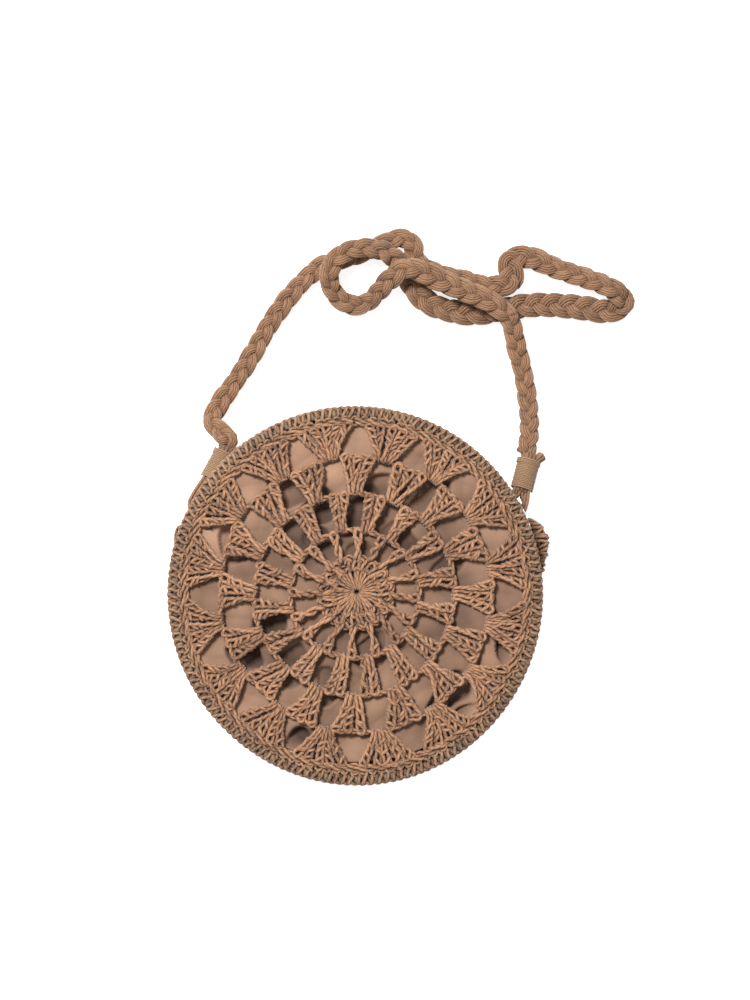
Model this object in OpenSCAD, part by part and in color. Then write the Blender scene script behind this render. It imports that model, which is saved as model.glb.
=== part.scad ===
// Round crocheted shoulder bag, lying on its back with the zip towards +Y.
// The origin is the centre of the back face, on the surface that the bag lies on.
// Places round the bag are clock angles: 0 at the top (+Y), growing towards +X.

/* [Bag] */
// Diameter over the edge rounds
bag_d = 189; // [180:1:215]
// Depth from the back face to the front face
bag_depth = 48; // [44:1:60]
// Thickness of the two openwork panels
panel_t = 3; // [2:0.5:3]
// Radius of one crocheted round of the edge and side
round_r = 1.7; // [1.6:0.1:1.8]
// Spacing of the rounds
round_spacing = 2.8; // [2.6:0.1:3]
// Edge rounds on the face
rim_face_rounds = 3; // [2:1:4]
// Edge rounds that go down the side
rim_side_rounds = 3; // [2:1:4]
// How far the side band sits inside the edge rounds
band_inset = 5; // [3:0.5:6]

/* [Openwork] */
// Repeats round the panel
petals = 16; // [12:1:18]
// Radius of the closed centre
centre_r = 18.5; // [16:0.5:20]
// Height of the row of single posts
row2_h = 14; // [12:0.5:15]
// Height of the row of small groups
row3_h = 18; // [16:0.5:19]
// Height of the row of inner fans
row4_h = 18; // [16:0.5:19]
// Width of the chain between two rows
chain_w = 2.4; // [1.6:0.2:3]
// Widest slit between two posts of a group
slit_w = 0.8; // [0.5:0.1:1.2]
// Hole at the very centre, across
eyelet_d = 3; // [1:0.5:4]

/* [Lining] */
// Thickness of the lining cloth
lining_t = 0.8; // [0.5:0.1:1.2]
// Height of the mouth cut in the lining behind the zip
mouth_h = 16; // [12:0.5:18]

/* [Zip] */
// Clock angle where the teeth end on the left
zip_left_a = 38; // [32:1:40]
// Clock angle where the teeth end on the right
zip_right_a = 46.6; // [44:0.2:47]
// Clock angle of each end of the tapes
tape_a = 66; // [60:1:68]
// Thickness of the tape
tape_t = 0.6; // [0.4:0.1:0.8]
// Spacing of the teeth
tooth_spacing = 2.6; // [2.2:0.1:3.2]
// Width of one tooth along the zip
tooth_w = 1.5; // [1:0.1:1.8]
// Thickness of the teeth across the tape
tooth_t = 2; // [1.6:0.1:2.4]
// Height of one row of teeth, bead included
tooth_h = 2.4; // [2:0.1:3]
// Slit between the two rows
zip_slit = 1.2; // [1:0.1:1.6]
// Length of the slider
slider_l = 11; // [9:0.5:12]
// Height of the slider
slider_h = 8.6; // [8:0.2:10]
// Thickness of the slider's two plates
slider_t = 1; // [0.8:0.1:1.2]
// Length of the pull from its pin
pull_l = 18; // [14:1:20]
// Width of the pull
pull_w = 5; // [4:0.5:6]
// Thickness of the pull
pull_t = 1.2; // [0.8:0.1:1.4]

/* [Rings and strap ends] */
// Radius of the ring's centre line
ring_r = 9.5; // [9:0.5:10.5]
// Diameter of the ring's wire
wire_d = 2.4; // [2:0.1:2.6]
// Clock angle of the tab that holds the left ring
tab_left_a = 71.5; // [70:0.5:76]
// Clock angle of the tab that holds the right ring
tab_right_a = 73; // [71:0.5:76]
// Thickness of the tab's folded strip
tab_t = 2.6; // [2:0.1:3]
// Width of the tab
tab_w = 8; // [6:0.5:8]
// Length of the tab's sewn leg along the side
tab_leg = 15; // [10:1:20]
// Height of the strap where it is folded round the ring
fold_h = 7.5; // [6:0.5:7.5]
// Thickness of one leg of the fold
fold_t = 3.2; // [2.5:0.1:3.6]
// Radius of the bound part under the thread
core_r = 4.4; // [4:0.1:4.6]
// Diameter of the binding thread
thread_d = 1.1; // [0.9:0.05:1.2]
// Free gap between two turns of the thread
thread_gap = 0.47; // [0.42:0.01:0.6]
// Turns of the thread
thread_turns = 10; // [8:1:12]
// Diameter of the braided strap
strap_d = 9; // [8:0.5:9]
// Radius of the cut end that sticks out of the binding
stub_r = 2.7; // [2:0.1:3]

/* [Hidden] */
$fn = 96;
sides = [-1, 1];

// Clearances: sewn pieces, resting pieces, sliding pieces, a pin in its eye
seam = 0.2;
seat = 0.3;
slide_gap = 0.3;
pin_gap = 0.15;
// How far a cut runs past what it cuts
over = 1;

bag_r = bag_d / 2;
mid_z = bag_depth / 2;
rim_r = bag_r - round_r;
rim_inner_r = rim_r - (rim_face_rounds - 1) * round_spacing - round_r;
rim_drop = 2 * round_r + rim_side_rounds * round_spacing;
panel_r = rim_inner_r - seam;
step_a = 360 / petals;

band_r = rim_r - band_inset;
band_in_r = band_r - round_r;
band_out_r = band_r + round_r;
// The edge rounds step in down the side, and the band lies one seam from the last of them
rim_step = band_inset / rim_side_rounds;
band_low_z = rim_drop - round_r + sqrt(pow(2 * round_r + seam, 2) - pow(rim_step, 2));
band_high_z = bag_depth - band_low_z;
band_rounds = ceil((band_high_z - band_low_z) / round_spacing) + 1;
band_step = (band_high_z - band_low_z) / (band_rounds - 1);

// Rows of the openwork from the centre out: width of a group at its foot and at its top,
// and its count of posts
row_w = [[2, 7], [5, 12.5], [6.4, 17.5], [10, 27]];
row_posts = [1, 3, 5, 6];
// Places up a row at which the side of a group has a corner
corner_shares = [0, 0.35, 0.7, 1];
// Where the slits between posts start, and how wide their feet stand apart
slit_low_share = 0.25;
slit_foot_share = 0.06;

tape_out_r = band_in_r - seat;
tape_in_r = tape_out_r - tape_t;
tape_r = tape_out_r - tape_t / 2;
lining_out_r = tape_in_r - seat;
lining_in_r = lining_out_r - lining_t;
lining_low_z = 2 * round_r + seat;
// The mouth stops this far short of the tape's ends, as an angle
mouth_end_a = 6;
// How far the tapes reach behind the edge rounds
tape_hem = 4;

tooth_in_r = tape_r - tooth_t / 2;
tooth_out_r = tape_r + tooth_t / 2;
bead_h = 1;
tooth_neck_share = 0.62;
teeth_a = zip_left_a + zip_right_a;
tooth_count = floor(teeth_a * PI / 180 * tape_r / tooth_spacing);
tooth_a = teeth_a / tooth_count;
stop_l = 2.2;
stop_gap = 0.6;

function arc_a(length, radius) = length / radius * 180 / PI;

slider_half_a = arc_a(slider_l / 2, tooth_out_r);
slider_a = zip_right_a - slider_half_a;
plate_out_r = tooth_out_r + slide_gap;
plate_in_r = tooth_in_r - slide_gap;
slider_corner = 2;
slider_web = zip_slit - 2 * slide_gap;
web_l = 3;
flange_t = 0.7;
flange_drop = 0.5;
pin_r = 0.55;
eye_wall = 0.6;
eye_r = pin_r + pin_gap + eye_wall;
lug_t = 1;
lug_gap = 0.3;
eye_w = 3.2;
pull_pin_r = plate_out_r + slider_t + slide_gap + eye_r;
// The pull leans in by this angle so that it lies along the teeth
pull_lean_a = 8;
pull_neck_share = 0.3;
pull_hole_share = 0.42;

wire_r = wire_d / 2;
// Room round the wire in the tab and in the strap's fold
wire_room = 0.6;
fold_room = 0.8;
tab_a = [tab_left_a, tab_right_a];
tab_eye_r = wire_r + wire_room;
tab_pin_r = band_out_r + seam + tab_t + tab_eye_r;
// Thickness of the tab's sewn leg, beside one strip of it
leg_share = 1.5;
// How far the eyes are drawn out, so that the ring's curve clears them
tab_eye_long = 1;
fold_eye_r = wire_r + fold_room;
fold_eye_long = 1.7;
// How far the ring leans from the side, and where the strap end points, left and right
ring_lean_a = [11.2, 5];
strap_point_a = [28, 15];
// How far the fold reaches from the ring to the binding, left and right
fold_reach = [12, 7];
// The strap end dips towards the surface
dip_a = 10;
fold_solid = 3.5;
binding_pitch = thread_d + thread_gap;
binding_l = thread_turns * binding_pitch;
// Bare core below the thread, and above it where the cut end leaves
binding_margin = 0.8;
binding_top = 2.8;
core_l = binding_l + binding_margin + binding_top;
thread_lift = 0.05;
helix_r = core_r + thread_lift + thread_d / 2;
thread_rings = 24;
thread_sides = 6;
strap_shift = 2.5;
stub_shift = 3.4;
stub_l = 5.5;
// Left and right: the side of the binding on which the strap lies, 1 away from the bag,
// and how far the cut end leans to the other side
strap_side = [1, -1];
stub_lean_a = [12, 38];
// How deep the cut end is rooted in the core, and its room beside the strap
stub_root = 0.6;
stub_room = 0.8;

// Route of the strap, from the right-hand end to the left-hand end
run_right = [[89.6, 84.1, 13], [89.3, 97, 7], [87, 112.1, 5], [82.9, 128.1, 7], [79, 140.9, 12.5]];
run_pile = [
  [79, 140.9, 12.5], [69, 149, 15], [55, 155, 15], [41, 161, 16], [27, 166, 18],
  [16, 159, 13], [6.2, 149.5, 6], [-3.8, 148.6, 5], [-12.1, 156, 7], [-13.2, 165.1, 12.5],
  [-8.3, 172.4, 15], [0.9, 176.2, 15], [11.9, 175.8, 14], [21, 171, 9], [27, 161, 6],
  [36, 149, 5], [49, 142, 5], [63, 140, 5], [77, 145, 5], [92.9, 148.4, 5],
  [112.8, 147.4, 5], [131.6, 144.8, 5], [138.9, 149.4, 8], [132.5, 155.9, 12], [121.6, 161, 9],
  [105, 167, 5], [90, 173, 5], [79.6, 171.4, 5], [78.6, 163.4, 5], [67, 160, 5],
  [56, 161, 5], [44, 164, 5], [31.9, 170.3, 5], [29.2, 179.7, 5], [23.1, 182.8, 5],
  [14.1, 179.8, 5], [3, 175, 5], [-9, 171, 5], [-20, 167, 5]
];
run_left = [
  [-20, 167, 5], [-33.2, 154.3, 5], [-44.6, 138.7, 5], [-53, 124, 5], [-61.5, 110.2, 5],
  [-69.7, 98, 7], [-73.8, 87.5, 12]
];
strap_sides = 10;
rings_right = 9;
rings_pile = 56;
rings_left = 12;
// Step along the route at which its direction is taken, and the flat end of a stretch
// beside the strap's diameter
route_step = 0.01;
flat_share = 0.01;

// Small tools

module at_clock(a) {
  rotate([0, 0, -a]) children();
}

// A sector between two radii, two heights and two clock angles
module arc_block(r0, r1, z0, z1, a0, a1) {
  rotate([0, 0, 90 - a1])
    rotate_extrude(angle = a1 - a0)
      translate([r0, z0])
        square([r1 - r0, z1 - z0]);
}

module ring_plate(radius, z0, z1) {
  translate([0, 0, z0]) cylinder(r = radius, h = z1 - z0);
}

// A flat shape drawn along the side, made solid between two radii
module side_plate(r0, r1) {
  translate([0, r1, 0])
    rotate([90, 0, 0])
      linear_extrude(r1 - r0)
        children();
}

module rounded_rect(w, h, r) {
  square([w - 2 * r, h], center = true);
  square([w, h - 2 * r], center = true);
  for (x = sides, y = sides)
    translate([x * (w / 2 - r), y * (h / 2 - r)]) circle(r);
}

module slot(x0, x1, r) {
  translate([x0, 0]) circle(r);
  translate([x1, 0]) circle(r);
  translate([x0, -r]) square([x1 - x0, 2 * r]);
}

// Openwork panel

function on_circle(r, a) = [r * sin(a), r * cos(a)];

// Half the width of a group of posts, part of the way up its row
function group_half(base_w, top_w, share) = (base_w + (top_w - base_w) * share) / 2;

// One open gap between two groups, and the slits inside one group
module row_gaps(row, r0, r1) {
  base_w = row_w[row][0];
  top_w = row_w[row][1];
  posts = row_posts[row];
  turn_a = row % 2 * step_a / 2;
  low = r0 + chain_w / 2;
  high = r1 - chain_w / 2;
  corners = len(corner_shares);
  radii = [for (s = corner_shares) low + s * (high - low)];
  halves = [for (i = [0 : corners - 1])
    step_a / 2 - asin(group_half(base_w, top_w, pow(corner_shares[i], 2)) / radii[i])];
  right = [for (i = [0 : corners - 1]) on_circle(radii[i], halves[i])];
  left = [for (i = [corners - 1 : -1 : 0]) on_circle(radii[i], -halves[i])];
  slit_low = low + (high - low) * slit_low_share;
  for (k = [0 : petals - 1]) {
    at_clock((k + 0.5) * step_a + turn_a) polygon(concat(right, left));
    if (posts > 1)
      at_clock(k * step_a + turn_a)
        for (j = [1 : posts - 1]) {
          across = j / posts - 0.5;
          x_low = across * 2 * group_half(base_w, top_w, slit_foot_share);
          x_high = across * 2 * group_half(base_w, top_w, 1);
          polygon([[x_low, slit_low], [x_high - slit_w / 2, high], [x_high + slit_w / 2, high]]);
        }
  }
}

module openwork() {
  r2 = centre_r + row2_h;
  r3 = r2 + row3_h;
  r4 = r3 + row4_h;
  linear_extrude(panel_t)
    difference() {
      circle(panel_r);
      circle(eyelet_d / 2);
      row_gaps(0, centre_r, r2);
      row_gaps(1, r2, r3);
      row_gaps(2, r3, r4);
      row_gaps(3, r4, panel_r);
    }
}

module front_panel() {
  color("#b08b6c") translate([0, 0, bag_depth - panel_t]) openwork();
}

module back_panel() {
  color("#a98466") openwork();
}

// Edge rounds: three on the face, the rest down the side
module rim() {
  rotate_extrude()
    union() {
      for (i = [0 : rim_face_rounds - 1])
        translate([rim_r - i * round_spacing, round_r]) circle(round_r);
      for (j = [1 : rim_side_rounds])
        translate([rim_r - (j - 1) * rim_step, round_r + j * round_spacing]) circle(round_r);
    }
}

module back_rim() {
  color("#a17d60") rim();
}

module front_rim() {
  color("#aa8668") translate([0, 0, bag_depth]) mirror([0, 0, 1]) rim();
}

module side_band() {
  color("#a68265")
    rotate([0, 0, 90 - (360 - tape_a)])
      rotate_extrude(angle = 360 - 2 * tape_a)
        for (i = [0 : band_rounds - 1])
          translate([band_r, band_low_z + i * band_step]) circle(round_r);
}

// Lining

module lining_back() {
  color("#9d7a66") ring_plate(lining_out_r, lining_low_z, lining_low_z + lining_t);
}

module lining_front() {
  color("#9d7a66")
    ring_plate(lining_out_r, bag_depth - lining_low_z - lining_t, bag_depth - lining_low_z);
}

module lining_side() {
  z0 = lining_low_z + lining_t + seam;
  mouth_a = tape_a - mouth_end_a;
  color("#8f6d5a")
    difference() {
      ring_plate(lining_out_r, z0, bag_depth - z0);
      ring_plate(lining_in_r, z0 - over, bag_depth - z0 + over);
      arc_block(lining_in_r - over, lining_out_r + over, mid_z - mouth_h / 2,
        mid_z + mouth_h / 2, -mouth_a, mouth_a);
    }
}

// Zip

module zip_tape(way) {
  low = zip_slit / 2 + tooth_h + seam / 2;
  high = mid_z - rim_drop + tape_hem;
  translate([0, 0, mid_z])
    mirror([0, 0, way < 0 ? 1 : 0])
      arc_block(tape_in_r, tape_out_r, low, high, -tape_a, tape_a);
}

module zip_tape_front() {
  color("#a5846b") zip_tape(1);
}

module zip_tape_back() {
  color("#a5846b") zip_tape(-1);
}

// One row: a bead along the tape with a tooth at each step
module zip_teeth(way, shift_a) {
  bead_low = zip_slit / 2 + tooth_h - bead_h;
  head_h = tooth_h - bead_h / 2;
  neck_w = tooth_w * tooth_neck_share;
  translate([0, 0, mid_z])
    mirror([0, 0, way < 0 ? 1 : 0]) {
      arc_block(tooth_in_r, tooth_out_r, bead_low, bead_low + bead_h, -zip_left_a, zip_right_a);
      for (i = [0 : tooth_count - 2])
        at_clock((i + 0.5) * tooth_a + shift_a - zip_left_a)
          side_plate(tooth_in_r, tooth_out_r)
            translate([0, zip_slit / 2])
              polygon([
                [-neck_w / 2, head_h], [-neck_w / 2, head_h / 2], [-tooth_w / 2, head_h / 3],
                [-neck_w / 2, 0], [neck_w / 2, 0], [tooth_w / 2, head_h / 3],
                [neck_w / 2, head_h / 2], [neck_w / 2, head_h]
              ]);
    }
}

module zip_teeth_front() {
  color("#8a6a52") zip_teeth(1, 0);
}

module zip_teeth_back() {
  color("#8a6a52") zip_teeth(-1, tooth_a / 2);
}

module zip_top_stops() {
  start_a = zip_right_a + arc_a(stop_gap, tooth_out_r);
  color("#b8b8b4")
    for (way = sides)
      translate([0, 0, mid_z])
        mirror([0, 0, way < 0 ? 1 : 0])
          arc_block(tooth_in_r, tooth_out_r, zip_slit / 2, zip_slit / 2 + tooth_h,
            start_a, start_a + arc_a(stop_l, tooth_out_r));
}

module zip_bottom_stop() {
  end_a = -zip_left_a - arc_a(stop_gap / 2, tooth_out_r);
  reach = zip_slit / 2 + tooth_h;
  color("#b8b8b4")
    translate([0, 0, mid_z])
      arc_block(tooth_in_r, tooth_out_r, -reach, reach, end_a - arc_a(stop_l, tooth_out_r), end_a);
}

// Slider: two plates joined by a web that runs in the slit, flanges over the tapes,
// and two lugs that hold the pull's pin
module zip_slider() {
  lug_in = eye_w / 2 + lug_gap;
  flange_z = zip_slit / 2 + tooth_h + slide_gap;
  color("#b8b8b4")
    translate([0, 0, mid_z])
      at_clock(slider_a) {
        intersection() {
          arc_block(plate_out_r, plate_out_r + slider_t, -slider_h / 2, slider_h / 2,
            -2 * slider_half_a, 2 * slider_half_a);
          side_plate(plate_in_r, pull_pin_r) rounded_rect(slider_l, slider_h, slider_corner);
        }
        intersection() {
          arc_block(plate_in_r - slider_t, plate_in_r, -slider_h / 2, slider_h / 2,
            -2 * slider_half_a, 2 * slider_half_a);
          side_plate(plate_in_r - 2 * slider_t, plate_out_r)
            rounded_rect(slider_l, slider_h, slider_corner);
        }
        side_plate(plate_in_r - slider_t / 2, plate_out_r + slider_t / 2)
          translate([slider_l / 2 - slider_corner - web_l, -slider_web / 2])
            square([web_l, slider_web]);
        for (way = sides)
          arc_block(plate_out_r - flange_drop, plate_out_r + slider_t / 2,
            way < 0 ? -flange_z - flange_t : flange_z, way < 0 ? -flange_z : flange_z + flange_t,
            -slider_half_a / 2, slider_half_a / 2);
        for (way = sides)
          translate([0, 0, way < 0 ? -lug_in - lug_t : lug_in]) {
            translate([0, pull_pin_r, 0]) cylinder(r = eye_r, h = lug_t);
            translate([-eye_r, plate_out_r + slider_t / 2, 0])
              cube([2 * eye_r, pull_pin_r - plate_out_r - slider_t / 2, lug_t]);
          }
        translate([0, pull_pin_r, -lug_in - lug_t / 2]) cylinder(r = pin_r, h = 2 * lug_in + lug_t);
      }
}

// Pull: an eye on the pin, a narrow neck and a paddle with a hole
module zip_pull() {
  neck_w = eye_w;
  paddle_l = pull_l * (1 - pull_neck_share);
  color("#b8b8b4")
    translate([0, 0, mid_z])
      at_clock(slider_a)
        translate([0, pull_pin_r, 0])
          rotate([0, 0, -pull_lean_a])
            difference() {
              union() {
                translate([0, 0, -eye_w / 2]) cylinder(r = eye_r, h = eye_w);
                side_plate(-pull_t / 2, pull_t / 2) {
                  translate([0, -neck_w / 2]) square([pull_l * pull_neck_share + pull_w / 2, neck_w]);
                  slot(pull_l - paddle_l + pull_w / 2, pull_l - pull_w / 2, pull_w / 2);
                }
              }
              translate([0, 0, -eye_w]) cylinder(r = pin_r + pin_gap, h = 2 * eye_w);
              side_plate(-pull_t, pull_t)
                slot(pull_l * (1 - pull_hole_share), pull_l - pull_w / 2, pull_w / 4);
            }
}

// Rings, their tabs and the strap's ends. Left is -X: its shapes are the right's, mirrored.

module side_of(k) {
  mirror([k == 0 ? 1 : 0, 0, 0]) children();
}

// From the tab's pin to the ring's plane: +Y along the ring towards the strap
module at_ring(k) {
  translate([0, 0, mid_z])
    at_clock(tab_a[k])
      translate([0, tab_pin_r, 0])
        rotate([0, 0, 90 + ring_lean_a[k]])
          children();
}

module ring_tab(k) {
  leg_a = arc_a(tab_leg, band_out_r);
  side_of(k)
    translate([0, 0, mid_z]) {
      difference() {
        union() {
          at_clock(tab_a[k])
            translate([0, tab_pin_r, -tab_w / 2])
              linear_extrude(tab_w)
                rotate(180)
                  slot(0, tab_eye_long, tab_eye_r + tab_t);
          arc_block(band_out_r, band_out_r + seam + leg_share * tab_t, -tab_w / 2, tab_w / 2,
            tab_a[k], tab_a[k] + leg_a);
        }
        translate([0, 0, -tab_w]) cylinder(r = band_out_r + seam, h = 2 * tab_w);
        at_clock(tab_a[k])
          translate([0, tab_pin_r, -tab_w])
            linear_extrude(2 * tab_w)
              rotate(180)
                slot(0, tab_eye_long, tab_eye_r);
      }
    }
}

module ring_tab_left() {
  color("#a68265") ring_tab(0);
}

module ring_tab_right() {
  color("#a68265") ring_tab(1);
}

module ring(k) {
  side_of(k)
    at_ring(k)
      translate([0, ring_r, 0])
        rotate([0, 90, 0])
          rotate_extrude()
            translate([ring_r, 0]) circle(wire_r);
}

module ring_left() {
  color("#d0d0d0") ring(0);
}

module ring_right() {
  color("#d0d0d0") ring(1);
}

// From the far wire of the ring: +Y along the strap end, away from the ring
ring_point_a = [for (k = [0, 1]) tab_a[k] - 90 - ring_lean_a[k]];
far_wire = [for (k = [0, 1])
  [tab_pin_r * sin(tab_a[k]) + 2 * ring_r * sin(ring_point_a[k]),
   tab_pin_r * cos(tab_a[k]) + 2 * ring_r * cos(ring_point_a[k])]];
strap_clock_a = [-strap_point_a[0], strap_point_a[1]];
end_l = [for (k = [0, 1]) fold_reach[k] + core_l];
end_top = [for (k = [0, 1])
  [sides[k] * far_wire[k][0] + end_l[k] * cos(dip_a) * sin(sides[k] * strap_clock_a[k]),
   far_wire[k][1] + end_l[k] * cos(dip_a) * cos(strap_clock_a[k]),
   mid_z - end_l[k] * sin(dip_a)]];

module at_strap_end(k) {
  translate([far_wire[k][0], far_wire[k][1], mid_z])
    rotate([0, 0, -strap_clock_a[k]])
      rotate([-dip_a, 0, 0])
        children();
}

// The strap's end: folded round the ring, bound, with its cut end beside the strap
module strap_end(k) {
  back = fold_eye_long + fold_eye_r;
  side_of(k)
    at_strap_end(k)
      difference() {
        union() {
          translate([0, 0, -fold_h / 2])
            linear_extrude(fold_h)
              rotate(90) {
                slot(-fold_eye_long, 0, fold_eye_r + fold_t);
                translate([0, -fold_eye_r - fold_t])
                  square([fold_reach[k], 2 * (fold_eye_r + fold_t)]);
              }
          translate([0, fold_reach[k] - fold_solid / 2, 0])
            rotate([-90, 0, 0]) cylinder(r = core_r, h = core_l + fold_solid / 2);
          translate([-strap_side[k] * stub_shift, end_l[k] - stub_root, 0])
            rotate([-90, 0, strap_side[k] * stub_lean_a[k]]) {
              cylinder(r = stub_r, h = stub_l);
              translate([0, 0, stub_l]) sphere(stub_r);
            }
        }
        translate([0, 0, -fold_h])
          linear_extrude(2 * fold_h)
            rotate(90)
              slot(-fold_eye_long, fold_reach[k] - fold_solid - fold_eye_r, fold_eye_r);
        translate([strap_side[k] * strap_shift, end_l[k], 0])
          rotate([-90, 0, 0]) cylinder(r = strap_d / 2 + stub_room, h = 2 * strap_d);
      }
}

module strap_end_left() {
  color("#a88769") strap_end(0);
}

module strap_end_right() {
  color("#a88769") strap_end(1);
}

// A tube swept along points: frames stand on the Z axis, because the route lies flat
function unit(v) = v / norm(v);

function tangent(p, i) = unit(p[min(i + 1, len(p) - 1)] - p[max(i - 1, 0)]);

function ring_points(p, i, r, n, up) =
  let (t = tangent(p, i), s = unit(cross(up, t)), u = cross(t, s))
  [for (j = [0 : n - 1]) p[i] + r * (cos(360 * j / n) * s + sin(360 * j / n) * u)];

module tube(p, r, n, up) {
  rings = len(p);
  points = [for (i = [0 : rings - 1]) each ring_points(p, i, r, n, up)];
  walls = [for (i = [0 : rings - 2], j = [0 : n - 1])
    let (a = i * n + j, b = i * n + (j + 1) % n)
    each [[a, a + n, b], [b, a + n, b + n]]];
  start = [for (j = [1 : n - 2]) [0, j, j + 1]];
  last = (rings - 1) * n;
  end = [for (j = [1 : n - 2]) [last, last + j + 1, last + j]];
  polyhedron(points = points, faces = concat(walls, start, end));
}

// The binding: one thread wound along the core, its two ends running off straight
helix = [for (i = [0 : thread_turns * thread_rings])
  let (a = 360 * i / thread_rings)
  [helix_r * cos(a), binding_pitch * i / thread_rings, helix_r * sin(a)]];
thread = concat(
  [helix[0] - unit(helix[1] - helix[0]) * thread_d], helix,
  [helix[len(helix) - 1] + unit(helix[len(helix) - 1] - helix[len(helix) - 2]) * thread_d]);
thread_free = min([for (i = [0 : thread_rings])
  min([for (j = [i + thread_rings / 2 : min(i + 2 * thread_rings, len(helix) - 1)])
    norm(helix[i] - helix[j])])]) - thread_d;
echo(thread_least_gap = thread_free);

module binding(k) {
  side_of(k)
    at_strap_end(k)
      translate([0, fold_reach[k] + binding_margin, 0])
        thread_tube();
}

// The thread's rings stand on the core's own axis
module thread_tube() {
  tube(thread, thread_d / 2, thread_sides, [0, 1, 0]);
}

module binding_left() {
  color("#b59577") binding(0);
}

module binding_right() {
  color("#b59577") binding(1);
}

// The strap: a smooth curve through the route's points
function spline(p, t) =
  let (
    n = len(p) - 1,
    i = min(floor(t), n - 1),
    f = t - i,
    a = i > 0 ? p[i - 1] : 2 * p[0] - p[1],
    b = p[i],
    c = p[i + 1],
    d = i + 2 <= n ? p[i + 2] : 2 * p[n] - p[n - 1]
  )
  0.5 * (2 * b + (c - a) * f + (2 * a - 5 * b + 4 * c - d) * f * f
    + (3 * b - a - 3 * c + d) * f * f * f);

strap_start = [for (k = [0, 1])
  let (a = sides[k] * strap_clock_a[k])
  end_top[k] + sides[k] * strap_side[k] * strap_shift * [cos(a), -sin(a), 0]];
strap_way = [for (k = [0, 1])
  let (a = sides[k] * strap_clock_a[k])
  [sin(a) * cos(dip_a), cos(a) * cos(dip_a), -sin(dip_a)]];

// The whole route, so that the pieces of the strap share their end rings
route = concat(
  [strap_start[1], strap_start[1] + strap_way[1] * strap_d / 2], run_right,
  [for (i = [1 : len(run_pile) - 1]) run_pile[i]],
  [for (i = [1 : len(run_left) - 1]) run_left[i]],
  [strap_start[0] + strap_way[0] * strap_d / 2, strap_start[0]]);
pile_from = len(run_right) + 1;
pile_to = pile_from + len(run_pile) - 1;
route_end = len(route) - 1;

module strap_stretch(t0, t1, count) {
  p = [for (i = [0 : count]) spline(route, t0 + (t1 - t0) * i / count)];
  ends = [
    unit(spline(route, min(t0 + route_step, route_end)) - spline(route, max(t0 - route_step, 0))),
    unit(spline(route, min(t1 + route_step, route_end)) - spline(route, max(t1 - route_step, 0)))
  ];
  square_tube(p, ends);
}

// End rings stand square to the route itself, so that two stretches meet face to face
module square_tube(p, ends) {
  small = strap_d * flat_share;
  q = concat([p[0]], [p[0] + ends[0] * small], [for (i = [1 : len(p) - 2]) p[i]],
    [p[len(p) - 1] - ends[1] * small], [p[len(p) - 1]]);
  tube(q, strap_d / 2, strap_sides, [0, 0, 1]);
}

module strap_run_right() {
  color("#b08e6f") strap_stretch(0, pile_from, rings_right);
}

module strap_pile() {
  color("#b08e6f") strap_stretch(pile_from, pile_to, rings_pile);
}

module strap_run_left() {
  color("#b08e6f") strap_stretch(pile_to, route_end, rings_left);
}

front_panel();
front_rim();
back_panel();
back_rim();
side_band();
lining_front();
lining_back();
lining_side();
zip_tape_front();
zip_tape_back();
zip_teeth_front();
zip_teeth_back();
zip_top_stops();
zip_bottom_stop();
zip_slider();
zip_pull();
ring_tab_left();
ring_tab_right();
ring_left();
ring_right();
strap_end_left();
strap_end_right();
binding_left();
binding_right();
strap_run_left();
strap_pile();
strap_run_right();
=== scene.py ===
# %% [markdown]
# # A round crocheted shoulder bag
#
# The bag lies on its back on a white surface, and the camera looks straight down at it.
# Its two faces are openwork, crocheted in a thin cotton cord over a cloth lining, and a braided
# strap lies in loose loops above it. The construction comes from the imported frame: this lesson
# gives the same pieces their yarn, cloth and metal.

import math
import random

import bpy
import numpy as np
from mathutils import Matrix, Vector


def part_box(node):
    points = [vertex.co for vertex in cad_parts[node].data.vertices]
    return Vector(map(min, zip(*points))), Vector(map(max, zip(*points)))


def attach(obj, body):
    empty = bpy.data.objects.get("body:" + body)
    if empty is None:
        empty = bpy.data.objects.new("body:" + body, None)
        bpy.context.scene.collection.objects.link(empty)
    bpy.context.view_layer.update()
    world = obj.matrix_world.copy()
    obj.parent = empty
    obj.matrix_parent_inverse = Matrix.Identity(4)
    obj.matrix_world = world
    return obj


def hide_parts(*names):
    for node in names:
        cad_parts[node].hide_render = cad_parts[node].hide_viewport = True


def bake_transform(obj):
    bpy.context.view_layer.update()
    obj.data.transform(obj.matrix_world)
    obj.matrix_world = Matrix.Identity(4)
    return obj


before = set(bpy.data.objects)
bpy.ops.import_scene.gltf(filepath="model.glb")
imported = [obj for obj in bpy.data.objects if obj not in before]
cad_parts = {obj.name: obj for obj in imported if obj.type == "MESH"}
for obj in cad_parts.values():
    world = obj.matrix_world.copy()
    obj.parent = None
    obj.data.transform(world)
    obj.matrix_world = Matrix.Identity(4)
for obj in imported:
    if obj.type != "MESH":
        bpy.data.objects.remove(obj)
bpy.context.view_layer.update()

# %% [markdown]
# ## Camera
#
# The photograph was taken from straight above. A long lens keeps the face of the bag round, and
# the distance is the one at which one pixel of the picture is half a millimetre on the face.

# %% Camera
# Lengths are in millimetres from here on, and MM turns them into the scene's metres
MM = 0.001
PICTURE_PX = 1000
PX_MM = 0.5
LENS_MM = 85
SENSOR_MM = 36
FACE_Z = 48
# The point of the bag's plane at which the camera looks
VIEW_X, VIEW_Y = 10, 47
distance = PICTURE_PX * PX_MM * LENS_MM / SENSOR_MM

bpy.ops.object.camera_add(
    location=(VIEW_X * MM, VIEW_Y * MM, (FACE_Z + distance) * MM), rotation=(0, 0, 0)
)
camera = bpy.context.object
camera.data.lens = LENS_MM
camera.data.sensor_width = SENSOR_MM
bpy.context.scene.camera = camera
print("camera", round(distance), "mm above the face")

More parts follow.
